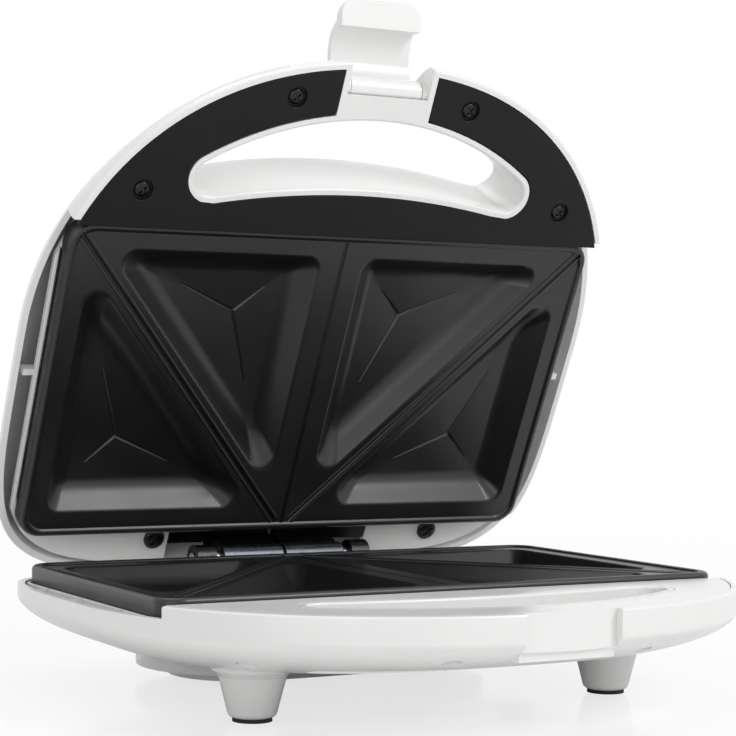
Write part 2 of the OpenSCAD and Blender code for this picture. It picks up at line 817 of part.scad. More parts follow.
module lid_frame() {
    tab_z = panel_back_z;
    color(white) in_lid() difference() {
        union() {
            intersection() {
                over() plate_ring(lug_z, lid_gap - tab_z);
                slab(outline(lid_inset, lid_inset + corner_trim, lid_inset), -big, big);
            }
            over() ribs_and_deck([-61], 2.4, lid_gap - lid_deck_z, lid_inset, lid_inset);
            both_sides() {
                rod(panel_points[1], tab_z, tab_z + 2, post_r + 0.8);
                block([panel_points[1][0] - 5, panel_points[1][1], tab_z],
                      [panel_points[1][0] + 5, -plate_d - ring_gap - 1, tab_z + 2]);
            }
        }
        for (p = corner_points) rod(p, -big, big, plate_screw_r + 0.3);
        for (p = lid_back_points) rod(p, -big, big, screw_r + 0.2);
        both_sides() rod(panel_points[1], -big, big, screw_r + 0.2);
    }
}

module handle_panel()
    color(black) in_lid() difference() {
        handle_sheet(panel_z, panel_back_z, recess_w + 2 * (wall + gap), hole_front_y + 2);
        both_sides() for (p = panel_points) {
            rod(p, -big, panel_z + 1.4, panel_recess_r);
            rod(p, -big, big, screw_r + 0.2);
        }
    }

// A pan head screw with a cross recess, its head at the low end
module cross_screw(at, seat, tip, r, h) {
    difference() {
        rod(at, seat - h, seat, r);
        for (a = [45, 135]) translate([at[0], at[1], seat - h]) rotate(a)
            cube([1.3 * r, 0.8, 1.4], center = true);
    }
    rod(at, seat, tip, screw_r);
}

module panel_screws()
    color(steel) in_lid() both_sides()
        for (p = panel_points) cross_screw(p, panel_z + 1.4, panel_tip_z, head_r - 0.2, 1.2);

module lid_back_screws()
    color(black) in_lid() for (p = lid_back_points)
        cross_screw(p, lid_deck_z, lid_deck_z + 7, 4.2, 2.2);

module lens(side)
    in_lid() {
        at = [side * lamp_at[0], lamp_at[1]];
        rod(at, top_z - wall - 1, top_z + 0.4, lens_r);
        rod(at, top_z - wall - 1, top_z - wall - 0.1, lens_r + 1);
    }

module power_lamp_lens() color("red") lens(-1);

module ready_lamp_lens() color("green") lens(1);

module lamp_bulbs()
    color("ivory") in_lid() both_sides() rod(lamp_at, top_z - wall - 7, top_z - wall - 1, 2.8);

module hinge_sleeves()
    color(dark_metal) in_lid() both_sides() difference() {
        axle([hinge_y, hinge_z], gap, gap + sleeve_l, sleeve_r);
        axle([hinge_y, hinge_z], -1, big, hinge_pin_r + fit);
    }

// A leaf that closes the deck's cut-out, with a web down to its sleeve. It is narrower at
// the back, where it swings through the base's cut-out.
module lid_hinge_brackets()
    color(black) in_lid() both_sides() difference() {
        union() {
            block([1.3, hinge_y - 4, hinge_z], [sleeve_l - 1, hinge_y + 4, hinge_seat_z]);
            block([1.3, plate_over + ring_out + 1.2, lid_deck_z],
                  [deck_slot / 2 - 0.6, hinge_y, hinge_seat_z]);
            block([1.3, hinge_y - 1, lid_deck_z],
                  [hinge_slot / 2 - 1.5, hinge_y + 5.5, hinge_seat_z]);
        }
        axle([hinge_y, hinge_z], -1, big, sleeve_r + fit);
    }

// ---------------------------------------------------------------- latch

module latch_pin()
    color(steel) in_lid() axle([clip_y, clip_z], -recess_w / 2 - 1, recess_w / 2 + 1, clip_pin_r);

// The clip's profile: its distance out from the pin, and down from the pin
inner_line = [[barrel_r - 0.4, 0.5], [7.4, 5.5], [9, 9], [9.2, 12], [8.6, 16.5], [7.4, 20],
              [6, clip_l - lip_h]];
outer_line = [[clip_t + 2.5, clip_l - lip_h + 2.2], [clip_t + 6.2, 21.3], [clip_t + 8.4, 17],
              [clip_t + 9.2, 12.2], [clip_t + 8.9, 8.2], [clip_t + 6.9, 3.6], [clip_t + 3.5, 0]];
lip_out = 0.6;
lip_line = [[lip_out, clip_l - lip_h], [lip_out, clip_l], [lip_out + lip_in, clip_l]];
clip_profile = concat(inner_line, lip_line, outer_line, [[0, 1 - barrel_r]]);

module latch_clip() {
    color(white) in_latch() difference() {
        union() {
            axle([clip_y, clip_z], -barrel_w / 2, barrel_w / 2, barrel_r);
            intersection() {
                translate([-clip_w / 2, clip_y, clip_z]) rotate([90, 0, 90])
                    linear_extrude(clip_w)
                    polygon([for (p = clip_profile) [-p[0], -p[1]]]);
                translate([0, clip_y + big / 2, clip_z]) rotate([90, 0, 0]) {
                    slab(round_rectangle([-clip_w / 2, -clip_l], [clip_w / 2, -2], lip_r), 0, big);
                    block([-barrel_w / 2, -8, 0], [barrel_w / 2, barrel_r, big]);
                }
            }
        }
        axle([clip_y, clip_z], -big, big, clip_pin_r + fit);
    }
}

base_shell();
base_top_frame();
base_frame_screws();
base_plate();
base_plate_screws();
base_element();
base_element_beads();
base_reflector();
base_thermostat();
thermal_fuse();
terminal_block();
cord_gland();
cord_wrap();
cord_wrap_screws();
foot_pads();
hinge_brackets();
hinge_pin();
lid_shell();
lid_frame();
handle_panel();
panel_screws();
lid_back_screws();
lid_plate();
lid_plate_screws();
lid_element();
lid_element_beads();
lid_reflector();
lid_thermostat();
power_lamp_lens();
ready_lamp_lens();
lamp_bulbs();
hinge_sleeves();
lid_hinge_brackets();
latch_pin();
latch_clip();
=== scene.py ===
import math
import bpy
import numpy as np
from mathutils import Matrix, Vector


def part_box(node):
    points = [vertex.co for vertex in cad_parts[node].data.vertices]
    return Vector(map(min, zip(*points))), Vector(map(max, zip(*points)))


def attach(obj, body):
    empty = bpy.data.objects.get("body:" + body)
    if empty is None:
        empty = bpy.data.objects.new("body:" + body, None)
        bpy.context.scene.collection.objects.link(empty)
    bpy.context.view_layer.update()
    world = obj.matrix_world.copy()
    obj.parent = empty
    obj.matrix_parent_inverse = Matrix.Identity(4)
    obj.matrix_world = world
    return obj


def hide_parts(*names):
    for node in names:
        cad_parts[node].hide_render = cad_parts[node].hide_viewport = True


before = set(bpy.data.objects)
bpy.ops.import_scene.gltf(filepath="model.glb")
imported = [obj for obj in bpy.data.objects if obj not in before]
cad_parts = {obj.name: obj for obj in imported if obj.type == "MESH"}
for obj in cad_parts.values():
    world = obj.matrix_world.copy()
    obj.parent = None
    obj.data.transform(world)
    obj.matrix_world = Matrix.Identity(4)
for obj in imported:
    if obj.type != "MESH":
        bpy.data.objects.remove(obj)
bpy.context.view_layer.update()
print("frame loaded")

# Everything is worked out with the toaster shut, in millimetres, from the middle of a datum
# line near the plates' back edge, at the level of the base plate's rim, and is then swung open.
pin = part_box("hinge_pin")
stand = {
    "datumY": (pin[0].y + pin[1].y) * 500 - 13.5,
    "rimLevel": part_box("base_plate")[1].z * 1000,
    "lidOpen": 64, "clipOpen": 116,
    "hingeY": 13.5, "hingeZ": -2, "clipY": -178, "clipZ": 4.4,
    "far": 400,
}
far = stand["far"]


# a solid is its points, an array of rows of x, y and z, with a list of its faces


def swung(points, angle, y, z):
    # turned about the line along X through (y, z), so that the front goes up
    turn = math.radians(-angle)
    dy, dz = points[:, 1] - y, points[:, 2] - z
    return np.column_stack([points[:, 0],
                            y + dy * math.cos(turn) - dz * math.sin(turn),
                            z + dy * math.sin(turn) + dz * math.cos(turn)])


def placed(points, body):
    # from the shut toaster to the table: the latch opens first, then the lid, then all moves
    if body == "latch":
        points = swung(points, stand["clipOpen"], stand["clipY"], stand["clipZ"])
    if body != "base":
        points = swung(points, stand["lidOpen"], stand["hingeY"], stand["hingeZ"])
    return (points + [0, stand["datumY"], stand["rimLevel"]]) / 1000


def stackRings(rings):
    # rings of equal count, each joined to the next by quads, with a flat face at both ends
    rings = np.asarray(rings, float)
    levels, count = rings.shape[:2]
    index = np.arange(levels * count).reshape(levels, count)
    ahead = np.roll(index, -1, axis=1)
    quads = np.stack([index[:-1], ahead[:-1], ahead[1:], index[1:]], axis=-1).reshape(-1, 4)
    return rings.reshape(-1, 3), quads.tolist() + [index[0, ::-1].tolist(), index[-1].tolist()]


def levelled(low, high, lowEdge=0.0, highEdge=0.0, over=0.0, steps=4):
    # pairs of height and inset: a quarter circle of the given radius at each end. A negative
    # radius flares outwards, for a tool that rounds the edge of the hole it cuts.
    angles = np.linspace(0, math.pi / 2, steps + 1)
    rows = []
    if lowEdge:
        rows += [(low + abs(lowEdge) * (1 - math.cos(a)), lowEdge * (1 - math.sin(a)))
                 for a in angles]
    else:
        rows.append((low, 0))
    if highEdge:
        rows += [(high - abs(highEdge) * (1 - math.cos(a)), highEdge * (1 - math.sin(a)))
                 for a in angles[::-1]]
    else:
        rows.append((high, 0))
    if over:
        rows = [(rows[0][0] - over, rows[0][1])] + rows + [(rows[-1][0] + over, rows[-1][1])]
    return rows


def slab(outlineAt, rows):
    # an outline, a function of how far it is taken in, repeated at each height
    return stackRings([np.column_stack([outline, np.full(len(outline), z)])
                       for z, outline in ((z, outlineAt(inset)) for z, inset in rows)])


def lathe(x, y, profile, steps=48):
    # a profile of radius and height turned about the upright line through (x, y)
    angles = np.linspace(0, 2 * math.pi, steps, endpoint=False)
    return stackRings([np.column_stack([x + r * np.cos(angles), y + r * np.sin(angles),
                                        np.full(steps, z)]) for r, z in profile])


def rod(x, y, low, high, r, lowEdge=0.0, highEdge=0.0, steps=48):
    profile = [(r - inset, z) for z, inset in levelled(low, high, lowEdge, highEdge)]
    return lathe(x, y, profile, steps)


def axle(y, z, left, right, r, edge=0.0, steps=48):
    points, faces = rod(y, z, left, right, r, edge, edge, steps)
    return points[:, [2, 0, 1]], faces


def block(low, high):
    x, y, z = zip(low, high)
    corners = np.array([[a, b, c] for c in z for a, b in ((x[0], y[0]), (x[1], y[0]),
                                                          (x[1], y[1]), (x[0], y[1]))], float)
    return corners, [[0, 3, 2, 1], [4, 5, 6, 7], [0, 1, 5, 4], [1, 2, 6, 5], [2, 3, 7, 6],
                     [3, 0, 4, 7]]


def merged(*solids):
    # solids that don't touch, as one
    points, faces, start = [], [], 0
    for solid in solids:
        points.append(solid[0])
        faces += [[start + i for i in face] for face in solid[1]]
        start += len(solid[0])
    return np.concatenate(points), faces


def mirrored(solid, axis=0, about=0.0):
    points = solid[0].copy()
    points[:, axis] = 2 * about - points[:, axis]
    return points, [face[::-1] for face in solid[1]]


def bothSides(solid):
    return merged(solid, mirrored(solid))


def turned(solid, angle, x, y):
    # about the upright line through (x, y)
    c, s = math.cos(math.radians(angle)), math.sin(math.radians(angle))
    dx, dy = solid[0][:, 0] - x, solid[0][:, 1] - y
    return np.column_stack([x + c * dx - s * dy, y + s * dx + c * dy, solid[0][:, 2]]), solid[1]


def workObject(name, solid):
    mesh = bpy.data.meshes.new(name)
    mesh.from_pydata(solid[0].tolist(), [], solid[1])
    mesh.update()
    thing = bpy.data.objects.new(name, mesh)
    bpy.context.scene.collection.objects.link(thing)
    return thing


def carved(start, *steps):
    # the solid after each step, a pair of Boolean operation and tool
    thing = workObject("work", start)
    tools = []
    for operation, solid in steps:
        tool = workObject("tool", solid)
        tools.append(tool)
        change = thing.modifiers.new(operation.lower(), "BOOLEAN")
        change.operation = operation
        change.solver = "MANIFOLD"
        change.object = tool
    graph = bpy.context.evaluated_depsgraph_get()
    mesh = bpy.data.meshes.new_from_object(thing.evaluated_get(graph))
    points = np.zeros(len(mesh.vertices) * 3)
    mesh.vertices.foreach_get("co", points)
    corners = np.zeros(len(mesh.loops), int)
    mesh.loops.foreach_get("vertex_index", corners)
    starts = np.zeros(len(mesh.polygons), int)
    mesh.polygons.foreach_get("loop_start", starts)
    faces = [part.tolist() for part in np.split(corners, starts[1:])]
    for used in tools + [thing]:
        bpy.data.objects.remove(used)
    return points.reshape(-1, 3), faces


def finished(name, solid, body, material, nodes, edge=0.0, sharp=34, tilt=True):
    # the solid as a piece of the toaster, its edges beveled by edge millimetres
    points = placed(solid[0], body) if tilt else solid[0]
    mesh = bpy.data.meshes.new(name)
    mesh.from_pydata(points.tolist(), [], solid[1])
    mesh.materials.append(material)
    mesh.polygons.foreach_set("use_smooth", np.ones(len(mesh.polygons), bool))
    mesh.update()
    mesh.set_sharp_from_angle(angle=math.radians(sharp))
    piece = bpy.data.objects.new(name, mesh)
    bpy.context.scene.collection.objects.link(piece)
    if edge:
        round_ = piece.modifiers.new("edge", "BEVEL")
        round_.width = edge / 1000
        round_.segments = 2
        round_.limit_method = "ANGLE"
        round_.angle_limit = math.radians(sharp)
        round_.use_clamp_overlap = True
    normals = piece.modifiers.new("normals", "WEIGHTED_NORMAL")
    normals.keep_sharp = not edge
    normals.weight = 60
    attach(piece, body)
    if nodes:
        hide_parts(*([nodes] if isinstance(nodes, str) else nodes))
    return piece


def srgb(code):
    # a hex colour as linear red, green, blue and alpha
    parts = [int(code[i:i + 2], 16) / 255 for i in (1, 3, 5)]
    return [p / 12.92 if p <= 0.04045 else ((p + 0.055) / 1.055) ** 2.4 for p in parts] + [1.0]


def addNode(tree, kind, inputs=None, **settings):
    node = tree.nodes.new(kind)
    for key, value in settings.items():
        setattr(node, key, value)
    for key, value in (inputs or {}).items():
        if isinstance(value, bpy.types.NodeSocket):
            tree.links.new(value, node.inputs[key])
        else:
            node.inputs[key].default_value = value
    return node


def surface(name, finish):
    # finish: two hex colours that a noise of size patch mm blends, the shader's own values,
    # a roughness range, and a bump of grain mm across and depth mm high
    material = bpy.data.materials.new(name)
    material.use_nodes = True
    tree = material.node_tree
    tree.nodes.clear()
    place = addNode(tree, "ShaderNodeTexCoord").outputs["Object"]
    patches = addNode(tree, "ShaderNodeTexNoise",
                      {"Vector": place, "Scale": 1000 / finish["patch"], "Detail": 4.0,
                       "Roughness": 0.6})
    tone = addNode(tree, "ShaderNodeMix", {"Factor": patches.outputs["Fac"]}, data_type="RGBA")
    tone.inputs[6].default_value = srgb(finish["colours"][0])
    tone.inputs[7].default_value = srgb(finish["colours"][1])
    wear = addNode(tree, "ShaderNodeMapRange",
                   {"Value": patches.outputs["Fac"], "From Min": 0.3, "From Max": 0.7,
                    "To Min": finish["roughness"][0], "To Max": finish["roughness"][1]})
    grain = addNode(tree, "ShaderNodeTexNoise",
                    {"Vector": place, "Scale": 1000 / finish["grain"], "Detail": 2.0,
                     "Roughness": 0.5})
    bump = addNode(tree, "ShaderNodeBump",
                   {"Height": grain.outputs["Fac"], "Strength": 1.0,
                    "Distance": finish["depth"] / 1000})
    shader = addNode(tree, "ShaderNodeBsdfPrincipled",
                     {"Base Color": tone.outputs[2], "Roughness": wear.outputs["Result"],
                      "Normal": bump.outputs["Normal"], **finish.get("shader", {})})
    addNode(tree, "ShaderNodeOutputMaterial", {"Surface": shader.outputs["BSDF"]})
    material.diffuse_color = srgb(finish["colours"][0])
    return material


finishes = {
    # injection-moulded ABS: bright glossy white with a very faint orange peel
    "whiteMouldedAbs": {"colours": ("#E9E9E8", "#EFEFEE"), "patch": 35, "roughness": (0.2, 0.27),
                        "grain": 2.2, "depth": 0.004, "shader": {"IOR": 1.53}},
    # injection-moulded ABS with a spark-eroded texture: an even matte black
    "blackErodedAbs": {"colours": ("#141415", "#171718"), "patch": 18, "roughness": (0.48, 0.58),
                       "grain": 0.5, "depth": 0.02,
                       "shader": {"IOR": 1.53, "Specular IOR Level": 0.2}},
    # fluoropolymer coating sprayed on die-cast aluminium: satin black, finely pebbled, and
    # its binder gives a soft second gloss
    "nonStickCoating": {"colours": ("#0F0F10", "#141415"), "patch": 14, "roughness": (0.34, 0.4),
                        "grain": 0.6, "depth": 0.014,
                        "shader": {"IOR": 1.5, "Coat Weight": 0.2, "Coat Roughness": 0.22}},
    # zinc-plated pressed steel, blackened: dark and satin with worn lighter spots
    "blackenedZinc": {"colours": ("#2A2B2D", "#3C3D40"), "patch": 1.6, "roughness": (0.25, 0.4),
                      "grain": 0.6, "depth": 0.01, "shader": {"Metallic": 1.0}},
    # rolled steel tube with a dark oxide finish
    "darkOxideSteel": {"colours": ("#3A3C40", "#4C4F54"), "patch": 6, "roughness": (0.2, 0.32),
                       "grain": 1.2, "depth": 0.008, "shader": {"Metallic": 0.9}},
    # bright zinc plating on turned steel
    "zincPlatedSteel": {"colours": ("#B9BABD", "#CBCCCE"), "patch": 2, "roughness": (0.22, 0.34),
                        "grain": 0.8, "depth": 0.006, "shader": {"Metallic": 1.0}},
    # moulded nitrile rubber: black, dull, slightly dusty
    "mouldedRubber": {"colours": ("#161616", "#202020"), "patch": 5, "roughness": (0.7, 0.85),
                      "grain": 0.8, "depth": 0.03, "shader": {"IOR": 1.52}},
    # heat-tinted steel sheath of a tubular heater
    "heaterSheath": {"colours": ("#4A4038", "#5B5148"), "patch": 9, "roughness": (0.4, 0.55),
                     "grain": 1.0, "depth": 0.01, "shader": {"Metallic": 0.8}},
    # pressed and fired steatite ceramic: matte ivory
    "firedSteatite": {"colours": ("#E6DFCF", "#D9D1BF"), "patch": 3, "roughness": (0.55, 0.7),
                      "grain": 0.7, "depth": 0.02, "shader": {"IOR": 1.6}},
    # natural moulded nylon
    "naturalNylon": {"colours": ("#E2DDCB", "#D8D3C2"), "patch": 6, "roughness": (0.4, 0.5),
                     "grain": 1.1, "depth": 0.01, "shader": {"IOR": 1.53}},
    # cold-rolled tinplate sheet
    "coldRolledTinplate": {"colours": ("#C3C4C6", "#D2D3D4"), "patch": 12, "roughness": (0.18, 0.3),
                           "grain": 1.5, "depth": 0.006, "shader": {"Metallic": 1.0}},
    # dyed moulded polycarbonate, clear
    "redPolycarbonate": {"colours": ("#D21A16", "#DC241E"), "patch": 4, "roughness": (0.08, 0.14),
                         "grain": 1.5, "depth": 0.003,
                         "shader": {"IOR": 1.58, "Transmission Weight": 0.6}},
    "greenPolycarbonate": {"colours": ("#1FA63A", "#2BB347"), "patch": 4, "roughness": (0.08, 0.14),
                           "grain": 1.5, "depth": 0.003,
                           "shader": {"IOR": 1.58, "Transmission Weight": 0.6}},
    # blown soda-lime glass of a small neon bulb
    "blownGlass": {"colours": ("#F2E6DC", "#F7EFE8"), "patch": 4, "roughness": (0.03, 0.08),
                   "grain": 2, "depth": 0.003, "shader": {"IOR": 1.52, "Transmission Weight": 0.9}},
}
materials = {name: surface(name, finish) for name, finish in finishes.items()}
print("materials made")

# The nodes whose own shape is shown, each with its finish
carriedNodes = {
    "base_frame_screws": "zincPlatedSteel", "base_plate_screws": "zincPlatedSteel",
    "base_element": "heaterSheath", "base_element_beads": "firedSteatite",
    "base_reflector": "coldRolledTinplate", "base_thermostat": "firedSteatite",
    "thermal_fuse": "firedSteatite", "terminal_block": "naturalNylon",
    "cord_gland": "mouldedRubber", "cord_wrap": "whiteMouldedAbs",
    "cord_wrap_screws": "zincPlatedSteel", "foot_pads": "mouldedRubber",
    "hinge_brackets": "blackenedZinc", "hinge_pin": "zincPlatedSteel",
    "lid_plate_screws": "zincPlatedSteel", "lid_element": "heaterSheath",
    "lid_element_beads": "firedSteatite", "lid_reflector": "coldRolledTinplate",
    "lid_thermostat": "firedSteatite", "power_lamp_lens": "redPolycarbonate",
    "ready_lamp_lens": "greenPolycarbonate", "lamp_bulbs": "blownGlass",
    "lid_hinge_brackets": "blackenedZinc", "latch_pin": "zincPlatedSteel",
}
for node, finishName in carriedNodes.items():
    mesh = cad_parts[node].data
    mesh.materials.clear()
    mesh.materials.append(materials[finishName])


def evenly(points, count):
    # count points at equal steps along an open line, its first end counted and its last not
    steps = np.concatenate([[0], np.cumsum(np.linalg.norm(np.diff(points, axis=0), axis=1))])
    wanted = np.linspace(0, steps[-1], count, endpoint=False)
    return np.column_stack([np.interp(wanted, steps, points[:, i]) for i in (0, 1)])


shell = {
    "halfWidth": 119.5, "frontReach": 114, "backReach": 101, "baseShort": 3, "widestY": 75,
    "frontFull": 2.2, "backFull": 5.2, "wall": 2.2, "sheet": 2.4, "gap": 0.3,
    "handleZ": -2, "baseRimZ": -6, "baseCreaseZ": -10.5, "floorZ": -26,
    "panelZ": -1, "lidRimZ": 8.5, "lidCreaseZ": 3, "topZ": 33.5, "lidDeckZ": 10.5,
    "bellyLean": (36, 57, 15), "bellyFull": 1.6,
    "domeLean": (50, 60, 20), "domeFull": 1.3, "domeSideFull": 1.8, "sideRise": 6.5,
    "handleY": -124.4, "rimEdge": 0.8, "points": 56,
}
frontY = -shell["widestY"] - shell["frontReach"]
wall, gap = shell["wall"], shell["gap"]


def shellOutline(side, front, back):
    # a superellipse in each quarter: full at the back and nearly round at the front
    quarters = []
    for k in range(4):
        a = np.linspace(0, math.pi / 2, 400) + k * math.pi / 2
        atBack = k < 2
        n = shell["backFull"] if atBack else shell["frontFull"]
        reach = shell["backReach"] - back if atBack else shell["frontReach"] - front
        x = np.sign(np.cos(a)) * np.abs(np.cos(a)) ** (2 / n) * (shell["halfWidth"] - side)
        y = np.sign(np.sin(a)) * np.abs(np.sin(a)) ** (2 / n) * reach - shell["widestY"]
        quarters.append(evenly(np.column_stack([x, y]), shell["points"]))
    return np.concatenate(quarters)


def drawnIn(t, fullness):
    # how much of its lean a shell's curve has taken at a share t of its height
    t = np.clip(t, 0, 1)
    return 1 - (1 - t ** fullness) ** (1 / fullness)


def shellForm(inset, short, start, crease, end, rise, lean, fullness, sideFull, edge=0.0):
    # an upright band from start to crease, then a curve that draws in towards its end. The
    # sides and the back begin to draw in later, by rise.
    up = 1 if end > crease else -1
    rows = [(start + up * z, i, 0, 0) for z, i in levelled(0, abs(crease - start), edge)]
    for a in np.radians(np.arange(5, 91, 5)):
        z = crease + (end - crease) * math.sin(a)
        rows.append((z, 0, drawnIn((z - crease - rise) / (end - crease - rise), sideFull),
                     drawnIn(math.sin(a), fullness)))
    rings = []
    for z, extra, q, k in rows[::up]:
        outline = shellOutline(inset + extra + q * lean[0], inset + extra + k * lean[1],
                               inset + extra + short + q * lean[2])
        rings.append(np.column_stack([outline, np.full(len(outline), z)]))
    return stackRings(rings)


def baseForm(inset, extra=0.0, edge=0.0):
    s = shell
    return shellForm(inset, s["baseShort"], s["handleZ"] + extra, s["baseCreaseZ"],
                     s["floorZ"] + inset, 0, s["bellyLean"], s["bellyFull"], s["bellyFull"], edge)


def lidForm(inset, extra=0.0, edge=0.0):
    s = shell
    return shellForm(inset, 0, s["panelZ"] - extra, s["lidCreaseZ"], s["topZ"] - inset,
                     s["sideRise"], s["domeLean"], s["domeFull"], s["domeSideFull"], edge)


def roundRectangle(lowX, lowY, highX, highY, r, steps=8):
    # steps points on each corner's quarter circle, anticlockwise from the right
    turns = np.linspace(0, math.pi / 2, steps + 1)
    corners = [(highX - r, highY - r, 0), (lowX + r, highY - r, 1), (lowX + r, lowY + r, 2),
               (highX - r, lowY + r, 3)]
    return np.concatenate([np.column_stack([x + r * np.cos(turns + q * math.pi / 2),
                                            y + r * np.sin(turns + q * math.pi / 2)])
                           for x, y, q in corners])


grip = {"width": 21.4, "holeGap": 19.3, "frontR": 119, "backR": 306, "tipR": 7, "lip": 2.4,
        "edge": 0.9}
holeFrontY = frontY + grip["width"]


def handHole(grow):
    # a front arc and a back arc joined by round ends that touch both
    frontR, backR, tipR = grip["frontR"], grip["backR"], grip["tipR"]
    a = holeFrontY + frontR
    b = -plate["depth"] - grip["holeGap"] + backR
    tipY = (a ** 2 - b ** 2 - (frontR - tipR) ** 2 + (backR + tipR) ** 2) / (2 * (a - b))
    tipX = math.sqrt((frontR - tipR) ** 2 - (tipY - a) ** 2)
    tipTurn, backTurn = math.atan2(tipX, a - tipY), math.atan2(tipX, b - tipY)

    def arc(x, y, r, start, end, count):
        turns = np.linspace(start, end, count)
        return np.column_stack([x + r * np.sin(turns), y - r * np.cos(turns)])
    return np.concatenate([
        arc(0, a, frontR + grow, -tipTurn, tipTurn, 40),
        arc(tipX, tipY, tipR + grow, tipTurn, math.pi - backTurn, 18)[1:],
        arc(0, b, backR - grow, backTurn, -backTurn, 32)[1:],
        arc(-tipX, tipY, tipR + grow, math.pi + backTurn, 2 * math.pi - tipTurn, 18)[1:-1]])


plate = {
    "halfWidth": 109, "depth": 122, "over": 4.4, "r": 8.5, "skirt": 7, "cast": 2.2,
    "rimW": 3, "rimH": 1,
    "pocketH": 8.4, "dip": 1.4, "lean": 7, "pocketR": 6, "sideField": 9, "frontField": 9.8,
    "backField": 10.4, "middleField": 9, "diagonalField": 4.5, "mouth": 0.7, "foot": 3.5,
    "grooveW": 1.5, "grooveDeep": 0.8, "beadW": 1.3, "beadH": 0.5,
    "creaseW": 1.7, "creaseDeep": 0.7, "creaseLength": 0.54, "lidGap": 2.5,
}
diagonalStart = np.array([0, plate["over"]])
diagonalEnd = np.array([plate["halfWidth"] - plate["rimW"], plate["rimW"] - plate["depth"]])
diagonal = diagonalEnd - diagonalStart
diagonalNormal = np.array([diagonal[1], -diagonal[0]]) / np.linalg.norm(diagonal)
fieldZ = -plate["rimH"]


def pocketCorners():
    # the two triangles of a half plate, each anticlockwise
    nx, ny = diagonalNormal
    over = plate["over"]

    def onDiagonal(x=None, y=None, d=0.0):
        # the missing one of x and y on a line beside the diagonal, d away from it
        return (d - ny * (y - over)) / nx if x is None else over + (d - nx * x) / ny
    x, y, d = plate["middleField"], plate["frontField"] - plate["depth"], plate["diagonalField"]
    front = [[x, y], [onDiagonal(y=y, d=d), y], [x, onDiagonal(x=x, d=d)]]
    x, y = plate["halfWidth"] - plate["sideField"], over - plate["backField"]
    side = [[x, onDiagonal(x=x, d=-d)], [x, y], [onDiagonal(y=y, d=-d), y]]
    return [np.array(front, float), np.array(side, float)]


def triangleMiddle(t):
    # the middle of the circle that touches all three sides, and its radius
    sides = np.array([np.linalg.norm(t[1] - t[2]), np.linalg.norm(t[2] - t[0]),
                      np.linalg.norm(t[0] - t[1])])
    half = sides.sum() / 2
    return sides @ t / sides.sum(), math.sqrt(np.prod(half - sides) / half)


def roundTriangle(t, inset, r, steps=9):
    m, inner = triangleMiddle(t)
    ring = []
    for k in range(3):
        before, after = t[k] - t[k - 1], t[(k + 1) % 3] - t[k]
        start = math.atan2(-before[0], before[1])
        sweep = (math.atan2(-after[0], after[1]) - start) % (2 * math.pi)
        turns = start + np.linspace(0, sweep, steps + 1)
        c = m + (t[k] - m) * (1 - (inset + r) / inner)
        ring.append(np.column_stack([c[0] + r * np.cos(turns), c[1] + r * np.sin(turns)]))
    return np.concatenate(ring)


def softCorner(s, at, half, before, after):
    # a line of slope before that turns to slope after at s = at, over half to each side
    u = np.clip((s - (at - half)) / (2 * half), 0, 1)
    bent = (u ** 2) * half * (after - before)
    past = np.maximum(s - (at + half), 0) * (after - before)
    return before * (s - at) + bent + past


def pocket(t, grow, top, drop, smooth=True):
    # rings taken in by s from the mouth: the wall falls at one slope and the floor dips to
    # the middle at another, and both corners are eased
    m, inner = triangleMiddle(t)
    lean, footR = plate["lean"], plate["pocketR"] - plate["lean"] / 2
    wallSlope, floorSlope = -plate["pocketH"] / lean, -plate["dip"] / (inner - lean)
    footZ = fieldZ - plate["pocketH"] - drop
    footRing = roundTriangle(t, lean - grow, footR)
    mouth, foot = plate["mouth"], plate["foot"]
    if smooth:
        s = np.concatenate([np.linspace(-mouth, mouth, 7),
                            np.linspace(lean - foot, lean + foot, 11),
                            np.linspace(lean + foot, inner - 0.4, 4)[1:]])
        z = footZ + softCorner(s, lean, foot, wallSlope, floorSlope)
        z = np.where(s < mouth, fieldZ - drop + softCorner(s, 0, mouth, 0, wallSlope), z)
    else:
        s = np.array([0, lean, inner - 0.4])
        z = np.array([top, footZ, footZ - plate["dip"]])
    rings = []
    for inset, height in zip(s, z):
        if inset <= lean:
            ring = roundTriangle(t, inset - grow, plate["pocketR"] - max(inset, 0) / 2)
        else:
            ring = m + (footRing - m) * (inner - inset) / (inner - lean)
        rings.append(np.column_stack([ring, np.full(len(ring), height)]))
    if smooth:
        rings = [rings[0] + [0, 0, top - fieldZ]] + rings
    return stackRings(rings[::-1])


def plateOutline(inset):
    half, deep = plate["halfWidth"], plate["depth"]
    return roundRectangle(inset - half, inset - deep, half - inset, plate["over"] - inset,
                          plate["r"] - inset / 2)


def bar(start, end, profile):
    # a profile of sideways shift and height carried along the line from start to end
    along = (end - start) / np.linalg.norm(end - start)
    across = np.array([-along[1], along[0]])
    rings = [np.column_stack([at[0] + across[0] * profile[:, 0], at[1] + across[1] * profile[:, 0],
                              profile[:, 1]]) for at in (start, end)]
    return stackRings(rings)


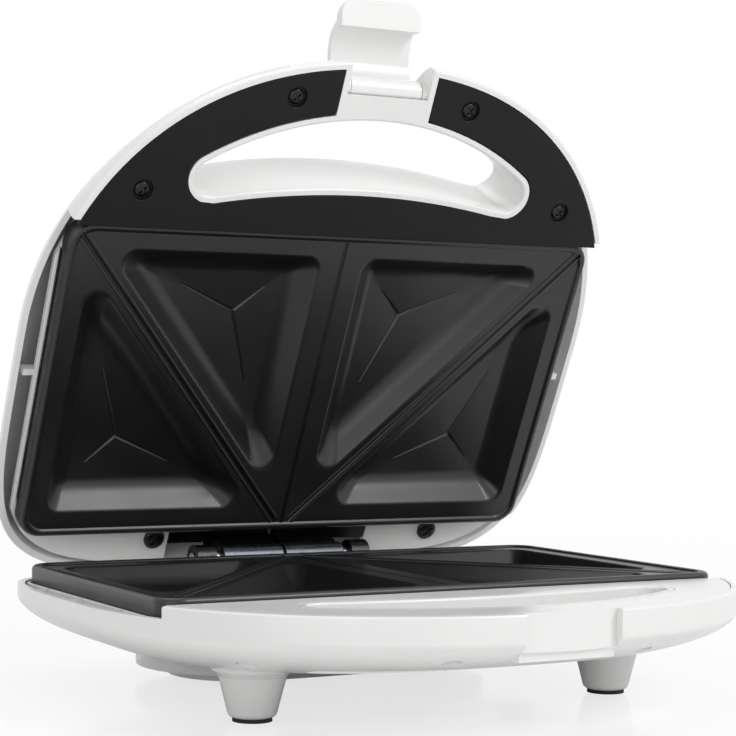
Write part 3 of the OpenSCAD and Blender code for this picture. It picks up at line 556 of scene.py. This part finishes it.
def creases(t):
    # three shallow V grooves from the middle of a pocket's floor, each running out to nothing
    m, inner = triangleMiddle(t)
    k = (inner - plate["lean"]) / inner
    low = fieldZ - plate["pocketH"] - plate["dip"]
    tools = []
    for corner in t:
        out = (corner - m) / np.linalg.norm(corner - m)
        across = np.array([-out[1], out[0]]) * plate["creaseW"] / 2
        reach = np.linalg.norm(corner - m) * k
        end = m + out * reach * plate["creaseLength"]
        endZ = low + plate["dip"] * plate["creaseLength"]
        back = m - out * 0.5
        points = [[*(back - across), low + 0.05], [*(back + across), low + 0.05],
                  [*back, low - plate["creaseDeep"]], [*(end - across * 0.4), endZ + 0.05],
                  [*(end + across * 0.4), endZ + 0.05], [*end, endZ - 0.12],
                  [*(back - across), low + 2], [*(back + across), low + 2],
                  [*(end + across * 0.4), endZ + 2], [*(end - across * 0.4), endZ + 2]]
        faces = [[2, 0, 6, 7, 1], [3, 5, 4, 8, 9], [0, 2, 5, 3], [2, 1, 4, 5], [0, 3, 9, 6],
                 [1, 7, 8, 4], [6, 9, 8, 7]]
        tools.append((np.array(points), faces))
    return tools


def cookingPlate():
    p = plate
    cast, skirt = p["cast"], p["skirt"]
    body = slab(plateOutline, levelled(-skirt, 0, 0, 1.7, steps=6))
    # the rim's inner edge, rounded: heights, and how much further in than the rim's width
    rimStep = [(z, p["rimW"] + further) for z, further in (
        (fieldZ, 0.3), (fieldZ + 0.1, 0.1), (fieldZ + 0.3, -0.05), (-0.45, -0.2), (-0.2, -0.5),
        (-0.06, -0.9), (0, -1.3), (1, -1.3))]
    under = slab(lambda i: plateOutline(cast + i), [(-skirt - 1, 0), (fieldZ - cast, 0)])
    bowls = [pocket(t, cast, fieldZ - cast / 2, cast, False) for t in pocketCorners()]
    steps = [("DIFFERENCE", slab(plateOutline, rimStep)), ("DIFFERENCE", under)]
    steps += [("UNION", bothSides(bowl)) for bowl in bowls]
    # a bead on each side of the groove along the diagonals
    width, bead = p["grooveW"], p["beadW"]
    a = np.linspace(0, math.pi, 7)
    middle = width / 2 + bead / 2
    hump = np.column_stack([middle + bead / 2 * np.cos(a), fieldZ - 0.02 + p["beadH"] * np.sin(a)])
    hump = np.concatenate([hump, [[middle - bead / 2, fieldZ - 0.5],
                                  [middle + bead / 2, fieldZ - 0.5]]])
    start, end = diagonalStart + diagonal * 0.035, diagonalStart + diagonal * 0.985
    for one in (hump, (hump * [-1, 1])[::-1]):
        steps.append(("UNION", bothSides(bar(start, end, one))))
    steps += [("DIFFERENCE", bothSides(pocket(t, 0, 1, 0))) for t in pocketCorners()]
    for t in pocketCorners():
        steps += [("DIFFERENCE", bothSides(tool)) for tool in creases(t)]
    u = np.linspace(0, math.pi, 7)
    groove = np.column_stack([-width / 2 * np.cos(u), fieldZ - p["grooveDeep"] * np.sin(u)])
    groove = np.concatenate([groove, [[width / 2, 2], [-width / 2, 2]]])
    start, end = diagonalStart + diagonal * 0.028, diagonalStart + diagonal * 0.992
    steps.append(("DIFFERENCE", bothSides(bar(start, end, groove))))
    start, end = np.array([0, p["rimW"] - p["depth"]]), np.array([0, p["over"] - p["rimW"]])
    steps.append(("DIFFERENCE", bar(start, end, groove)))
    return carved(body, *steps)


plateSolid = cookingPlate()
finished("cookingPlateLow", plateSolid, "base", materials["nonStickCoating"],
         "base_plate", sharp=28)
finished("cookingPlateHigh", mirrored(plateSolid, 2, plate["lidGap"] / 2), "lid",
         materials["nonStickCoating"], "lid_plate", sharp=28)
print("plates made")


screwPoints = [(35.8, frontY + 14.9), (87.1, -136.4)]
posts = {"r": 4.2, "back": (61, 11), "lidBack": ((-50, 11), (73, 11)), "backSeat": -13,
         "standoffs": ((54, -26), (54, -96)), "standoffR": 3, "knuckleX": 29.8, "knuckleW": 8,
         "screw": 1.6, "pilot": 1.45, "head": 3.3, "headSeats": (-13.5, -16.5),
         "backHeadSeat": -18, "wrap": (26, -15)}
cordInlet = {"x": 70, "y": -50, "r": 4.5}
feet = {"x": 70.5, "y": -107, "lowR": 7.8, "topR": 12.4, "lowZ": -41.7, "edge": 1.5, "flare": 2.2}
latch = {"notchW": 35.5, "notchIn": 4, "notchZ": -14.5, "catchIn": 5.4, "catchZ": -17.3}


def footProfile():
    # straight taper, rounded at the ground and flared into the belly
    f, floorZ = feet, shell["floorZ"]
    slope = (f["topR"] - f["lowR"]) / (floorZ + wall - f["lowZ"])
    rows = [(f["lowR"] + slope * (z - f["lowZ"]) - inset, z)
            for z, inset in levelled(f["lowZ"], floorZ - f["flare"], f["edge"])]
    for a in np.linspace(15, 90, 6):
        z = floorZ - f["flare"] * math.cos(math.radians(a))
        out = f["flare"] * (1 - math.cos(math.radians(a))) * 0.8
        rows.append((f["lowR"] + slope * (z - f["lowZ"]) + out, z))
    rows.append((rows[-1][0], floorZ + wall * 0.6))
    return rows


def baseShell():
    s = shell
    lip = slab(lambda i: handHole(grip["lip"] - i), [(s["floorZ"], 0), (s["handleZ"], 0)])
    back = posts["back"]
    post = [rod(x, y, s["floorZ"], -8, posts["r"]) for x, y in screwPoints]
    post.append(rod(*back, s["floorZ"], posts["backSeat"], posts["r"]))
    post += [rod(x, y, s["floorZ"], -20, posts["standoffR"]) for x, y in posts["standoffs"]]
    post.append(rod(*posts["wrap"], s["floorZ"], s["floorZ"] + 4, posts["r"]))
    knuckle = block((posts["knuckleX"] - 2, stand["hingeY"] - 6, s["floorZ"]),
                    (posts["knuckleX"] + posts["knuckleW"] + 2, stand["hingeY"] + 6,
                     posts["backSeat"]))
    notchBack = frontY + latch["notchIn"] + wall
    half = latch["notchW"] / 2
    inside = [("UNION", lip), ("UNION", bothSides(knuckle))]
    inside.append(("UNION", block((-half - wall, frontY, s["floorZ"]),
                                  (half + wall, notchBack, s["handleZ"]))))
    filling = carved(bothSides(merged(*post)), *inside, ("INTERSECT", baseForm(wall / 2)))
    hole = slab(lambda i: handHole(-i), levelled(-60, s["handleZ"], 0, -grip["edge"], 1))
    steps = [("UNION", bothSides(lathe(feet["x"], feet["y"], footProfile()))),
             ("DIFFERENCE", baseForm(wall, 1)),
             ("UNION", filling),
             ("UNION", block((-half, frontY + latch["catchIn"], latch["catchZ"]),
                             (half, frontY + latch["catchIn"] + 5, s["baseCreaseZ"]))),
             ("DIFFERENCE", hole),
             ("DIFFERENCE", block((-far, s["handleY"], s["baseRimZ"]), (far, far, far))),
             ("DIFFERENCE", block((-half, frontY - 1, latch["notchZ"]),
                                  (half, frontY + latch["notchIn"], far))),
             ("DIFFERENCE", block((-29, stand["hingeY"] + 4, posts["backSeat"]), (29, far, far)))]
    holes = []
    for (x, y), seat in zip(screwPoints + [back], posts["headSeats"] + (posts["backHeadSeat"],)):
        holes.append(lathe(x, y, [(posts["head"], -60), (posts["head"], seat),
                                  (posts["screw"], seat), (posts["screw"], 0.5)]))
    holes.append(rod(*posts["wrap"], -60, s["floorZ"] + 3.4, posts["pilot"]))
    steps.append(("DIFFERENCE", bothSides(merged(*holes))))
    steps.append(("DIFFERENCE", rod(cordInlet["x"], cordInlet["y"], -60, 0, cordInlet["r"])))
    return carved(baseForm(0, 0, s["rimEdge"]), *steps)


finished("baseShellMoulding", baseShell(), "base", materials["whiteMouldedAbs"],
         "base_shell", edge=0.35)
print("base shell made")


def handleSheet(low, high, slotHalf, slotY, edge, faceLow):
    # the flat cover of a handle, inside the shell's rim and around the lip of the opening
    inset = wall + gap
    edges = (edge, 0) if faceLow else (0, edge)
    sheet = slab(lambda i: shellOutline(inset + i, inset + i, inset + i),
                 levelled(low, high, *edges))
    hole = slab(lambda i: handHole(grip["lip"] + gap - i),
                levelled(low, high, -edges[0], -edges[1], 1))
    back = -plate["depth"] - ring["gap"]
    return carved(sheet, ("INTERSECT", block((-far, -far, low - 1), (far, back, high + 1))),
                  ("DIFFERENCE", hole),
                  ("DIFFERENCE", block((-slotHalf, -far, low - 1), (slotHalf, slotY, high + 1))))


ring = {"gap": 0.7, "thick": 1.1, "deckZ": -6.5, "lugT": 2, "cornerIn": 5.5, "lugR": 9,
        "deckSlot": 44, "hingeSlot": 29}
ringOut = ring["gap"] + ring["thick"]
cornerPoints = [(x * (plate["halfWidth"] - ring["cornerIn"]), y) for x in (-1, 1)
                for y in (plate["over"] - ring["cornerIn"], ring["cornerIn"] - plate["depth"])]


def grownPlate(grow):
    half, deep = plate["halfWidth"], plate["depth"]
    return roundRectangle(-half - grow, -deep - grow, half + grow, plate["over"] + grow,
                          plate["r"] + grow)


def plateRing(low, frontHigh):
    # a thin upright ring around a plate, taller at the front, with a lug under each corner
    def band(high):
        inner = slab(lambda i: grownPlate(ring["gap"]), [(low - 1, 0), (high + 1, 0)])
        return carved(slab(lambda i: grownPlate(ringOut - i), levelled(low, high, 0, 0.3)),
                      ("DIFFERENCE", inner))
    front = carved(band(frontHigh), ("INTERSECT", block((-far, -far, -far),
                                                        (far, -plate["depth"] - ring["gap"], far))))
    lugZ = -plate["skirt"] - ring["lugT"]
    discs = [rod(x, y, lugZ, -plate["skirt"], ring["lugR"]) for x, y in cornerPoints]
    lugs = carved(merged(*discs),
                  ("INTERSECT", slab(lambda i: grownPlate(ringOut - ring["thick"] / 2),
                                     [(lugZ - 1, 0), (-plate["skirt"] + 1, 0)])))
    return carved(band(ring["deckZ"]), ("UNION", front), ("UNION", lugs))


def ribsAndDeck(ribs, ribT, deck, inset, back):
    # ribs across the channel beside the plate, and the deck behind it
    side = [block((plate["halfWidth"] + ring["gap"], y - ribT / 2, shell["baseCreaseZ"]),
                  (far, y + ribT / 2, ring["deckZ"])) for y in ribs]
    hingeRoom = block((-far, stand["hingeY"] + 4, -far), (ring["hingeSlot"], far, far))
    floor = carved(block((ring["deckSlot"], plate["over"] + ring["gap"], deck - shell["sheet"]),
                         (far, far, deck)),
                   ("DIFFERENCE", hingeRoom))
    within = slab(lambda i: shellOutline(inset, inset, back), [(-60, 0), (60, 0)])
    return carved(bothSides(merged(*side, floor)), ("INTERSECT", within))


def baseTopFrame():
    s = shell
    low = s["handleZ"] - s["sheet"]
    notchBack = frontY + latch["notchIn"] + wall + gap
    sheet = handleSheet(low, s["handleZ"], latch["notchW"] / 2 + wall + gap, notchBack, 0.5, False)
    ringPart = carved(plateRing(s["baseCreaseZ"], s["handleZ"]),
                      ("INTERSECT", slab(lambda i: shellOutline(wall + gap, wall + gap,
                                                                wall + gap + s["baseShort"]),
                                         [(-60, 0), (60, 0)])))
    bosses = [rod(x, y, -8, low + 0.5, posts["r"]) for x, y in screwPoints]
    bosses.append(rod(*posts["back"], posts["backSeat"], ring["deckZ"] - 0.5, posts["r"]))
    holes = [rod(x, y, -30, 0, posts["screw"]) for x, y in cornerPoints]
    return carved(sheet, ("UNION", ringPart),
                  ("UNION", ribsAndDeck((-25, -58, -93), 1.6, ring["deckZ"], wall + gap,
                                        wall + gap + s["baseShort"])),
                  ("UNION", bothSides(merged(*bosses))),
                  ("DIFFERENCE", merged(*holes)))


finished("baseTopMoulding", baseTopFrame(), "base", materials["whiteMouldedAbs"],
         "base_top_frame", edge=0.2)
print("base top made")


# cornerY is where the latch's slot in the panel meets the opening's lip
recess = {"halfWidth": 16.75, "behind": 4.6, "lip": 1, "openTo": 1.2, "earR": 4, "earX": 14.95,
          "pinR": 1.55, "cornerY": -168.75, "cornerR": 1.8}
lamps = {"x": 9, "y": -104, "r": 4}


def lidShell():
    s = shell
    panelBack = s["panelZ"] + s["sheet"]
    hy = stand["hingeY"]
    post = [rod(*screwPoints[0], panelBack, s["topZ"], posts["r"]),
            rod(*screwPoints[1], panelBack + 2, s["topZ"], posts["r"]),
            block((4, hy - 5.5, s["lidDeckZ"] + 1.5), (24, hy + 5.5, s["topZ"]))]
    post += [rod(x, y, 22.5, s["topZ"], posts["standoffR"]) for x, y in posts["standoffs"]]
    backPosts = [rod(x, y, s["lidDeckZ"] + s["sheet"], s["topZ"], posts["r"])
                 for x, y in posts["lidBack"]]
    half = recess["halfWidth"]
    aroundClip = block((-half - wall, frontY, s["panelZ"]), (half + wall, holeFrontY, s["topZ"]))
    aroundHole = slab(lambda i: handHole(grip["lip"]), [(s["panelZ"], 0), (s["topZ"], 0)])
    filling = carved(merged(bothSides(merged(*post)), *backPosts), ("UNION", aroundClip),
                     ("UNION", aroundHole), ("INTERSECT", lidForm(wall / 2)))
    clipY, clipZ = stand["clipY"], stand["clipZ"]
    ears = bothSides(axle(clipY, clipZ, recess["earX"], half + 1, recess["earR"]))
    room = carved(block((-half, -far, s["panelZ"] + recess["lip"]),
                        (half, clipY + recess["behind"], far)),
                  ("UNION", block((-half, -far, -far), (half, clipY + recess["openTo"], far))),
                  ("DIFFERENCE", ears))
    hole = slab(lambda i: handHole(-i), levelled(s["panelZ"], 60, -grip["edge"], 0, 1))
    holes = [rod(x, y, -5, 7.5, posts["pilot"]) for x, y in screwPoints]
    holes.append(rod(lamps["x"], lamps["y"], s["topZ"] - wall - 1, 60, lamps["r"] + 0.05))
    holes = [bothSides(merged(*holes))]
    holes += [rod(x, y, 0, s["lidDeckZ"] + 8, posts["pilot"]) for x, y in posts["lidBack"]]
    return carved(lidForm(0, 0, s["rimEdge"]), ("DIFFERENCE", lidForm(wall, 1)), ("UNION", filling),
                  ("DIFFERENCE", hole), ("DIFFERENCE", room),
                  ("DIFFERENCE", axle(clipY, clipZ, -half - 1.2, half + 1.2, recess["pinR"])),
                  ("DIFFERENCE", block((-far, s["handleY"], -far), (far, far, s["lidRimZ"]))),
                  ("DIFFERENCE", block((-far, ringOut + 2, -far), (far, far, s["lidDeckZ"]))),
                  ("DIFFERENCE", merged(*holes)))


finished("lidShellMoulding", lidShell(), "lid", materials["whiteMouldedAbs"],
         "lid_shell", edge=0.35)
print("lid shell made")


def lidFrame():
    s = shell
    tab = s["panelZ"] + s["sheet"]
    inset = wall + gap + 1.6
    turnOver = plate["lidGap"] / 2
    upright = plateRing(-plate["skirt"] - ring["lugT"], plate["lidGap"] - tab)
    ringPart = carved(mirrored(upright, 2, turnOver),
                      ("INTERSECT", slab(lambda i: shellOutline(inset, inset + 13, inset),
                                         [(-60, 0), (60, 0)])))
    floor = ribsAndDeck((-61,), 2.4, plate["lidGap"] - s["lidDeckZ"], inset, inset)
    x, y = screwPoints[1]
    tongue = block((x - 5, y, tab), (x + 5, -plate["depth"] - ring["gap"] - 1, tab + 2))
    tabs = carved(rod(x, y, tab, tab + 2, posts["r"] + 0.8), ("UNION", tongue))
    holes = [rod(x, y, -30, 60, posts["screw"]) for x, y in cornerPoints + list(posts["lidBack"])]
    holes.append(bothSides(rod(*screwPoints[1], -30, 60, posts["screw"])))
    return carved(ringPart, ("UNION", mirrored(floor, 2, turnOver)), ("UNION", bothSides(tabs)),
                  ("DIFFERENCE", merged(*holes)))


finished("lidFrameMoulding", lidFrame(), "lid", materials["whiteMouldedAbs"],
         "lid_frame", edge=0.2)


def cornerTool(x, y, r):
    # what rounds a corner that points to smaller x and larger y
    return carved(block((x - 1, y - r, -20), (x + r, y + 2, 20)),
                  ("DIFFERENCE", rod(x + r, y - r, -21, 21, r)),
                  ("DIFFERENCE", block((x + r - 0.01, y - r - 1, -21), (x + r + 1, y + 3, 21))))


panelZ, panelBack = shell["panelZ"], shell["panelZ"] + shell["sheet"]
socket = {"mouthR": 4.1, "r": 3.8, "chamfer": 0.25, "deep": 1.4}
socketSeat = panelZ + socket["deep"]
sockets = [lathe(x, y, [(socket["mouthR"], panelZ - 1), (socket["mouthR"], panelZ),
                        (socket["r"], panelZ + socket["chamfer"]), (socket["r"], socketSeat),
                        (posts["screw"], socketSeat), (posts["screw"], panelBack + 1)])
           for x, y in screwPoints]
slotHalf = recess["halfWidth"] + wall + gap
panel = carved(handleSheet(panelZ, panelBack, slotHalf, holeFrontY + 2, 0.5, True),
               ("DIFFERENCE", bothSides(merged(*sockets))),
               ("DIFFERENCE", bothSides(cornerTool(slotHalf, recess["cornerY"],
                                                   recess["cornerR"]))))
finished("handlePanel", panel, "lid", materials["blackErodedAbs"], "handle_panel",
         edge=0.2)
print("lid frame and panel made")


def crossScrew(x, y, seat, tip, r, h):
    # a pan head, domed on its low face, with a cross cut into it, and a plain shank
    rows = [(r * math.sin(a) * 0.92 + 0.02, seat - h * (0.55 + 0.45 * math.cos(a)))
            for a in map(math.radians, (8, 25, 45, 65, 82))]
    rows += [(r, seat - h * 0.42), (r, seat - 0.1), (r - 0.1, seat), (1.4, seat), (1.4, tip)]
    head = lathe(x, y, rows, 32)
    arm, half = 0.62 * r, 0.36
    slot = block((x - arm, y - half, seat - h - 1), (x + arm, y + half, seat - h + 0.8))
    arms = [turned(slot, angle, x, y) for angle in (45, 135)]
    return carved(head, ("DIFFERENCE", arms[0]), ("DIFFERENCE", arms[1]))


heads = [crossScrew(x, y, socketSeat, 6.5, 2.8, 1.2) for x, y in screwPoints]
finished("panelScrews", bothSides(merged(*heads)), "lid", materials["blackenedZinc"],
         "panel_screws", sharp=30)
backHeads = [crossScrew(x, y, shell["lidDeckZ"], shell["lidDeckZ"] + 7, 4.2, 2.2)
             for x, y in posts["lidBack"]]
finished("lidBackScrews", merged(*backHeads), "lid", materials["blackenedZinc"],
         "lid_back_screws", sharp=30)


sleeves = {"r": 5, "length": 26.3, "start": 0.3, "pinR": 2.55}
tube = carved(axle(stand["hingeY"], stand["hingeZ"], sleeves["start"],
                   sleeves["start"] + sleeves["length"], sleeves["r"], 0.6, 64),
              ("DIFFERENCE", axle(stand["hingeY"], stand["hingeZ"], -1, 60, sleeves["pinR"])))
finished("hingeSleeves", bothSides(tube), "lid", materials["darkOxideSteel"],
         "hinge_sleeves", sharp=40)
print("fasteners and hinge made")


clip = {"width": 32.5, "thick": 2.5, "long": 32, "lipH": 10, "lipIn": 2.6, "lipR": 6, "lipOut": 0.6,
        "barrelR": 4, "barrelW": 29.3, "pinR": 1.55}


def smoothLine(points, steps=5):
    # a curve through all the points (Catmull and Rom's), whose ends are doubled
    p = np.array(points, float)
    p = np.concatenate([[2 * p[0] - p[1]], p, [2 * p[-1] - p[-2]]])
    t = np.linspace(0, 1, steps, endpoint=False)[:, None]
    parts = [0.5 * (2 * b + (c - a) * t + (2 * a - 5 * b + 4 * c - d) * t ** 2
                    + (3 * b - a - 3 * c + d) * t ** 3)
             for a, b, c, d in zip(p, p[1:], p[2:], p[3:])]
    return np.concatenate(parts + [p[-2:-1]])


def latchClip():
    c = clip
    t, ledge = c["thick"], c["long"] - c["lipH"]
    inner = smoothLine([[c["barrelR"] - 0.4, 0.5], [7.4, 5.5], [9, 9], [9.2, 12], [8.6, 16.5],
                        [7.4, 20], [6, ledge]])
    lip = [[c["lipOut"], ledge], [c["lipOut"], c["long"]], [c["lipOut"] + c["lipIn"], c["long"]]]
    outer = smoothLine([[t + 2.5, ledge + 2.2], [t + 6.2, 21.3], [t + 8.4, 17], [t + 9.2, 12.2],
                        [t + 8.9, 8.2], [t + 6.9, 3.6], [t + 3.5, 0]])
    line = np.concatenate([inner, lip, outer, [[0, 1 - c["barrelR"]]]])
    half, pinY, pinZ = c["width"] / 2, stand["clipY"], stand["clipZ"]
    rings = [np.column_stack([np.full(len(line), x), pinY - line[:, 0], pinZ - line[:, 1]])
             for x in (-half, half)]
    bent = stackRings(rings)
    front = slab(lambda i: roundRectangle(-half, pinZ - c["long"], half, pinZ - 2, c["lipR"], 12),
                 [(-far, 0), (far, 0)])
    front = (front[0][:, [0, 2, 1]], [face[::-1] for face in front[1]])
    root = block((-c["barrelW"] / 2, -far, pinZ - 8), (c["barrelW"] / 2, pinY, pinZ + c["barrelR"]))
    window = carved(front, ("UNION", root))
    return carved(bent, ("INTERSECT", window),
                  ("UNION", axle(pinY, pinZ, -c["barrelW"] / 2, c["barrelW"] / 2, c["barrelR"],
                                 0.4)),
                  ("DIFFERENCE", axle(pinY, pinZ, -60, 60, c["pinR"])))


finished("latchClip", latchClip(), "latch", materials["whiteMouldedAbs"],
         "latch_clip", edge=0.5, sharp=30)
print("latch made")


studio = {"floorColour": "#F4F4F4", "floorGlow": 0.72, "floorNear": 0.25, "floorFar": 1.1,
          "skyForObject": 0.55}


def studioFloor():
    size = 6.0
    mesh = bpy.data.meshes.new("studioFloor")
    mesh.from_pydata([(-size, -size, 0), (size, -size, 0), (size, size, 0), (-size, size, 0)], [],
                     [(0, 1, 2, 3)])
    material = bpy.data.materials.new("polishedWhiteBoard")
    material.use_nodes = True
    tree = material.node_tree
    tree.nodes.clear()
    board = addNode(tree, "ShaderNodeBsdfPrincipled",
                    {"Base Color": srgb(studio["floorColour"]), "Roughness": 0.12})
    glow = addNode(tree, "ShaderNodeEmission", {"Color": [1, 1, 1, 1], "Strength": 1.0})
    path = addNode(tree, "ShaderNodeLightPath")
    # the board's own light grows with the distance from the toaster, so it has no far edge
    place = addNode(tree, "ShaderNodeTexCoord").outputs["Object"]
    away = addNode(tree, "ShaderNodeVectorMath", {0: place}, operation="LENGTH").outputs["Value"]
    grown = addNode(tree, "ShaderNodeMapRange",
                    {"Value": away, "From Min": studio["floorNear"], "From Max": studio["floorFar"],
                     "To Min": studio["floorGlow"], "To Max": 1.0}, interpolation_type="SMOOTHSTEP")
    share = addNode(tree, "ShaderNodeMath", {0: path.outputs["Is Camera Ray"], 1: grown.outputs[0]},
                    operation="MULTIPLY")
    mix = addNode(tree, "ShaderNodeMixShader", {0: share.outputs[0], 1: board.outputs[0],
                                                2: glow.outputs[0]})
    addNode(tree, "ShaderNodeOutputMaterial", {"Surface": mix.outputs[0]})
    mesh.materials.append(material)
    floor = bpy.data.objects.new("studioFloor", mesh)
    bpy.context.scene.collection.objects.link(floor)


studioFloor()

world = bpy.data.worlds.new("studioSky")
bpy.context.scene.world = world
world.use_nodes = True
sky = world.node_tree
sky.nodes.clear()
rays = addNode(sky, "ShaderNodeLightPath")
plain = addNode(sky, "ShaderNodeMath", {0: rays.outputs["Is Camera Ray"],
                                        1: rays.outputs["Is Glossy Ray"]}, operation="MAXIMUM")
plain = addNode(sky, "ShaderNodeMath",
                {0: plain.outputs[0], 1: rays.outputs["Is Transmission Ray"]}, operation="MAXIMUM")
level = addNode(sky, "ShaderNodeMapRange",
                {"Value": plain.outputs[0], "To Min": studio["skyForObject"], "To Max": 1.0})
light = addNode(sky, "ShaderNodeBackground", {"Color": [1, 1, 1, 1],
                                              "Strength": level.outputs["Result"]})
addNode(sky, "ShaderNodeOutputWorld", {"Surface": light.outputs[0]})

# soft boxes: direction from the toaster, distance in metres, size in metres, power in watts
softBoxes = {
    "softBoxFront": {"towards": (0.37, -0.66, 0.57), "distance": 1.5, "size": (0.42, 0.8),
                     "power": 9},
    "softBoxTop": {"towards": (-0.15, 0.25, 1.0), "distance": 1.5, "size": (1.3, 1.0),
                   "power": 6.5},
    "softBoxLow": {"towards": (-0.72, -0.68, 0.1), "distance": 1.5, "size": (0.9, 0.5),
                   "power": 2.6},
}
for name, box in softBoxes.items():
    lamp = bpy.data.lights.new(name, "AREA")
    lamp.shape = "RECTANGLE"
    lamp.size, lamp.size_y = box["size"]
    lamp.energy = box["power"]
    holder = bpy.data.objects.new(name, lamp)
    towards = Vector(box["towards"]).normalized()
    holder.location = Vector((0, 0, 0.1)) + towards * box["distance"]
    holder.rotation_mode = "QUATERNION"
    holder.rotation_quaternion = (-towards).to_track_quat("-Z", "Y")
    bpy.context.scene.collection.objects.link(holder)

# the camera: its place in metres, the way it looks, and its lens for a square frame
view = {"place": (-0.35682, stand["datumY"] / 1000 - 0.69276, 0.11358),
        "right": (0.88212, -0.47093, 0.00932), "up": (-0.0060, 0.00856, 0.99995),
        "forward": (0.47098, 0.88213, -0.00472), "lens": 97.83, "shift": (0.0559, 0.0194)}
camera = bpy.data.objects.new("camera", bpy.data.cameras.new("camera"))
camera.data.sensor_width = 36
camera.data.lens = view["lens"]
camera.data.shift_x, camera.data.shift_y = view["shift"]
camera.data.clip_start, camera.data.clip_end = 0.01, 50
axes = Matrix((view["right"], view["up"], [-v for v in view["forward"]])).transposed()
camera.matrix_world = Matrix.Translation(view["place"]) @ axes.to_quaternion().to_matrix().to_4x4()
bpy.context.scene.collection.objects.link(camera)
bpy.context.scene.camera = camera
bpy.context.scene.view_settings.view_transform = "Standard"
print("studio made")
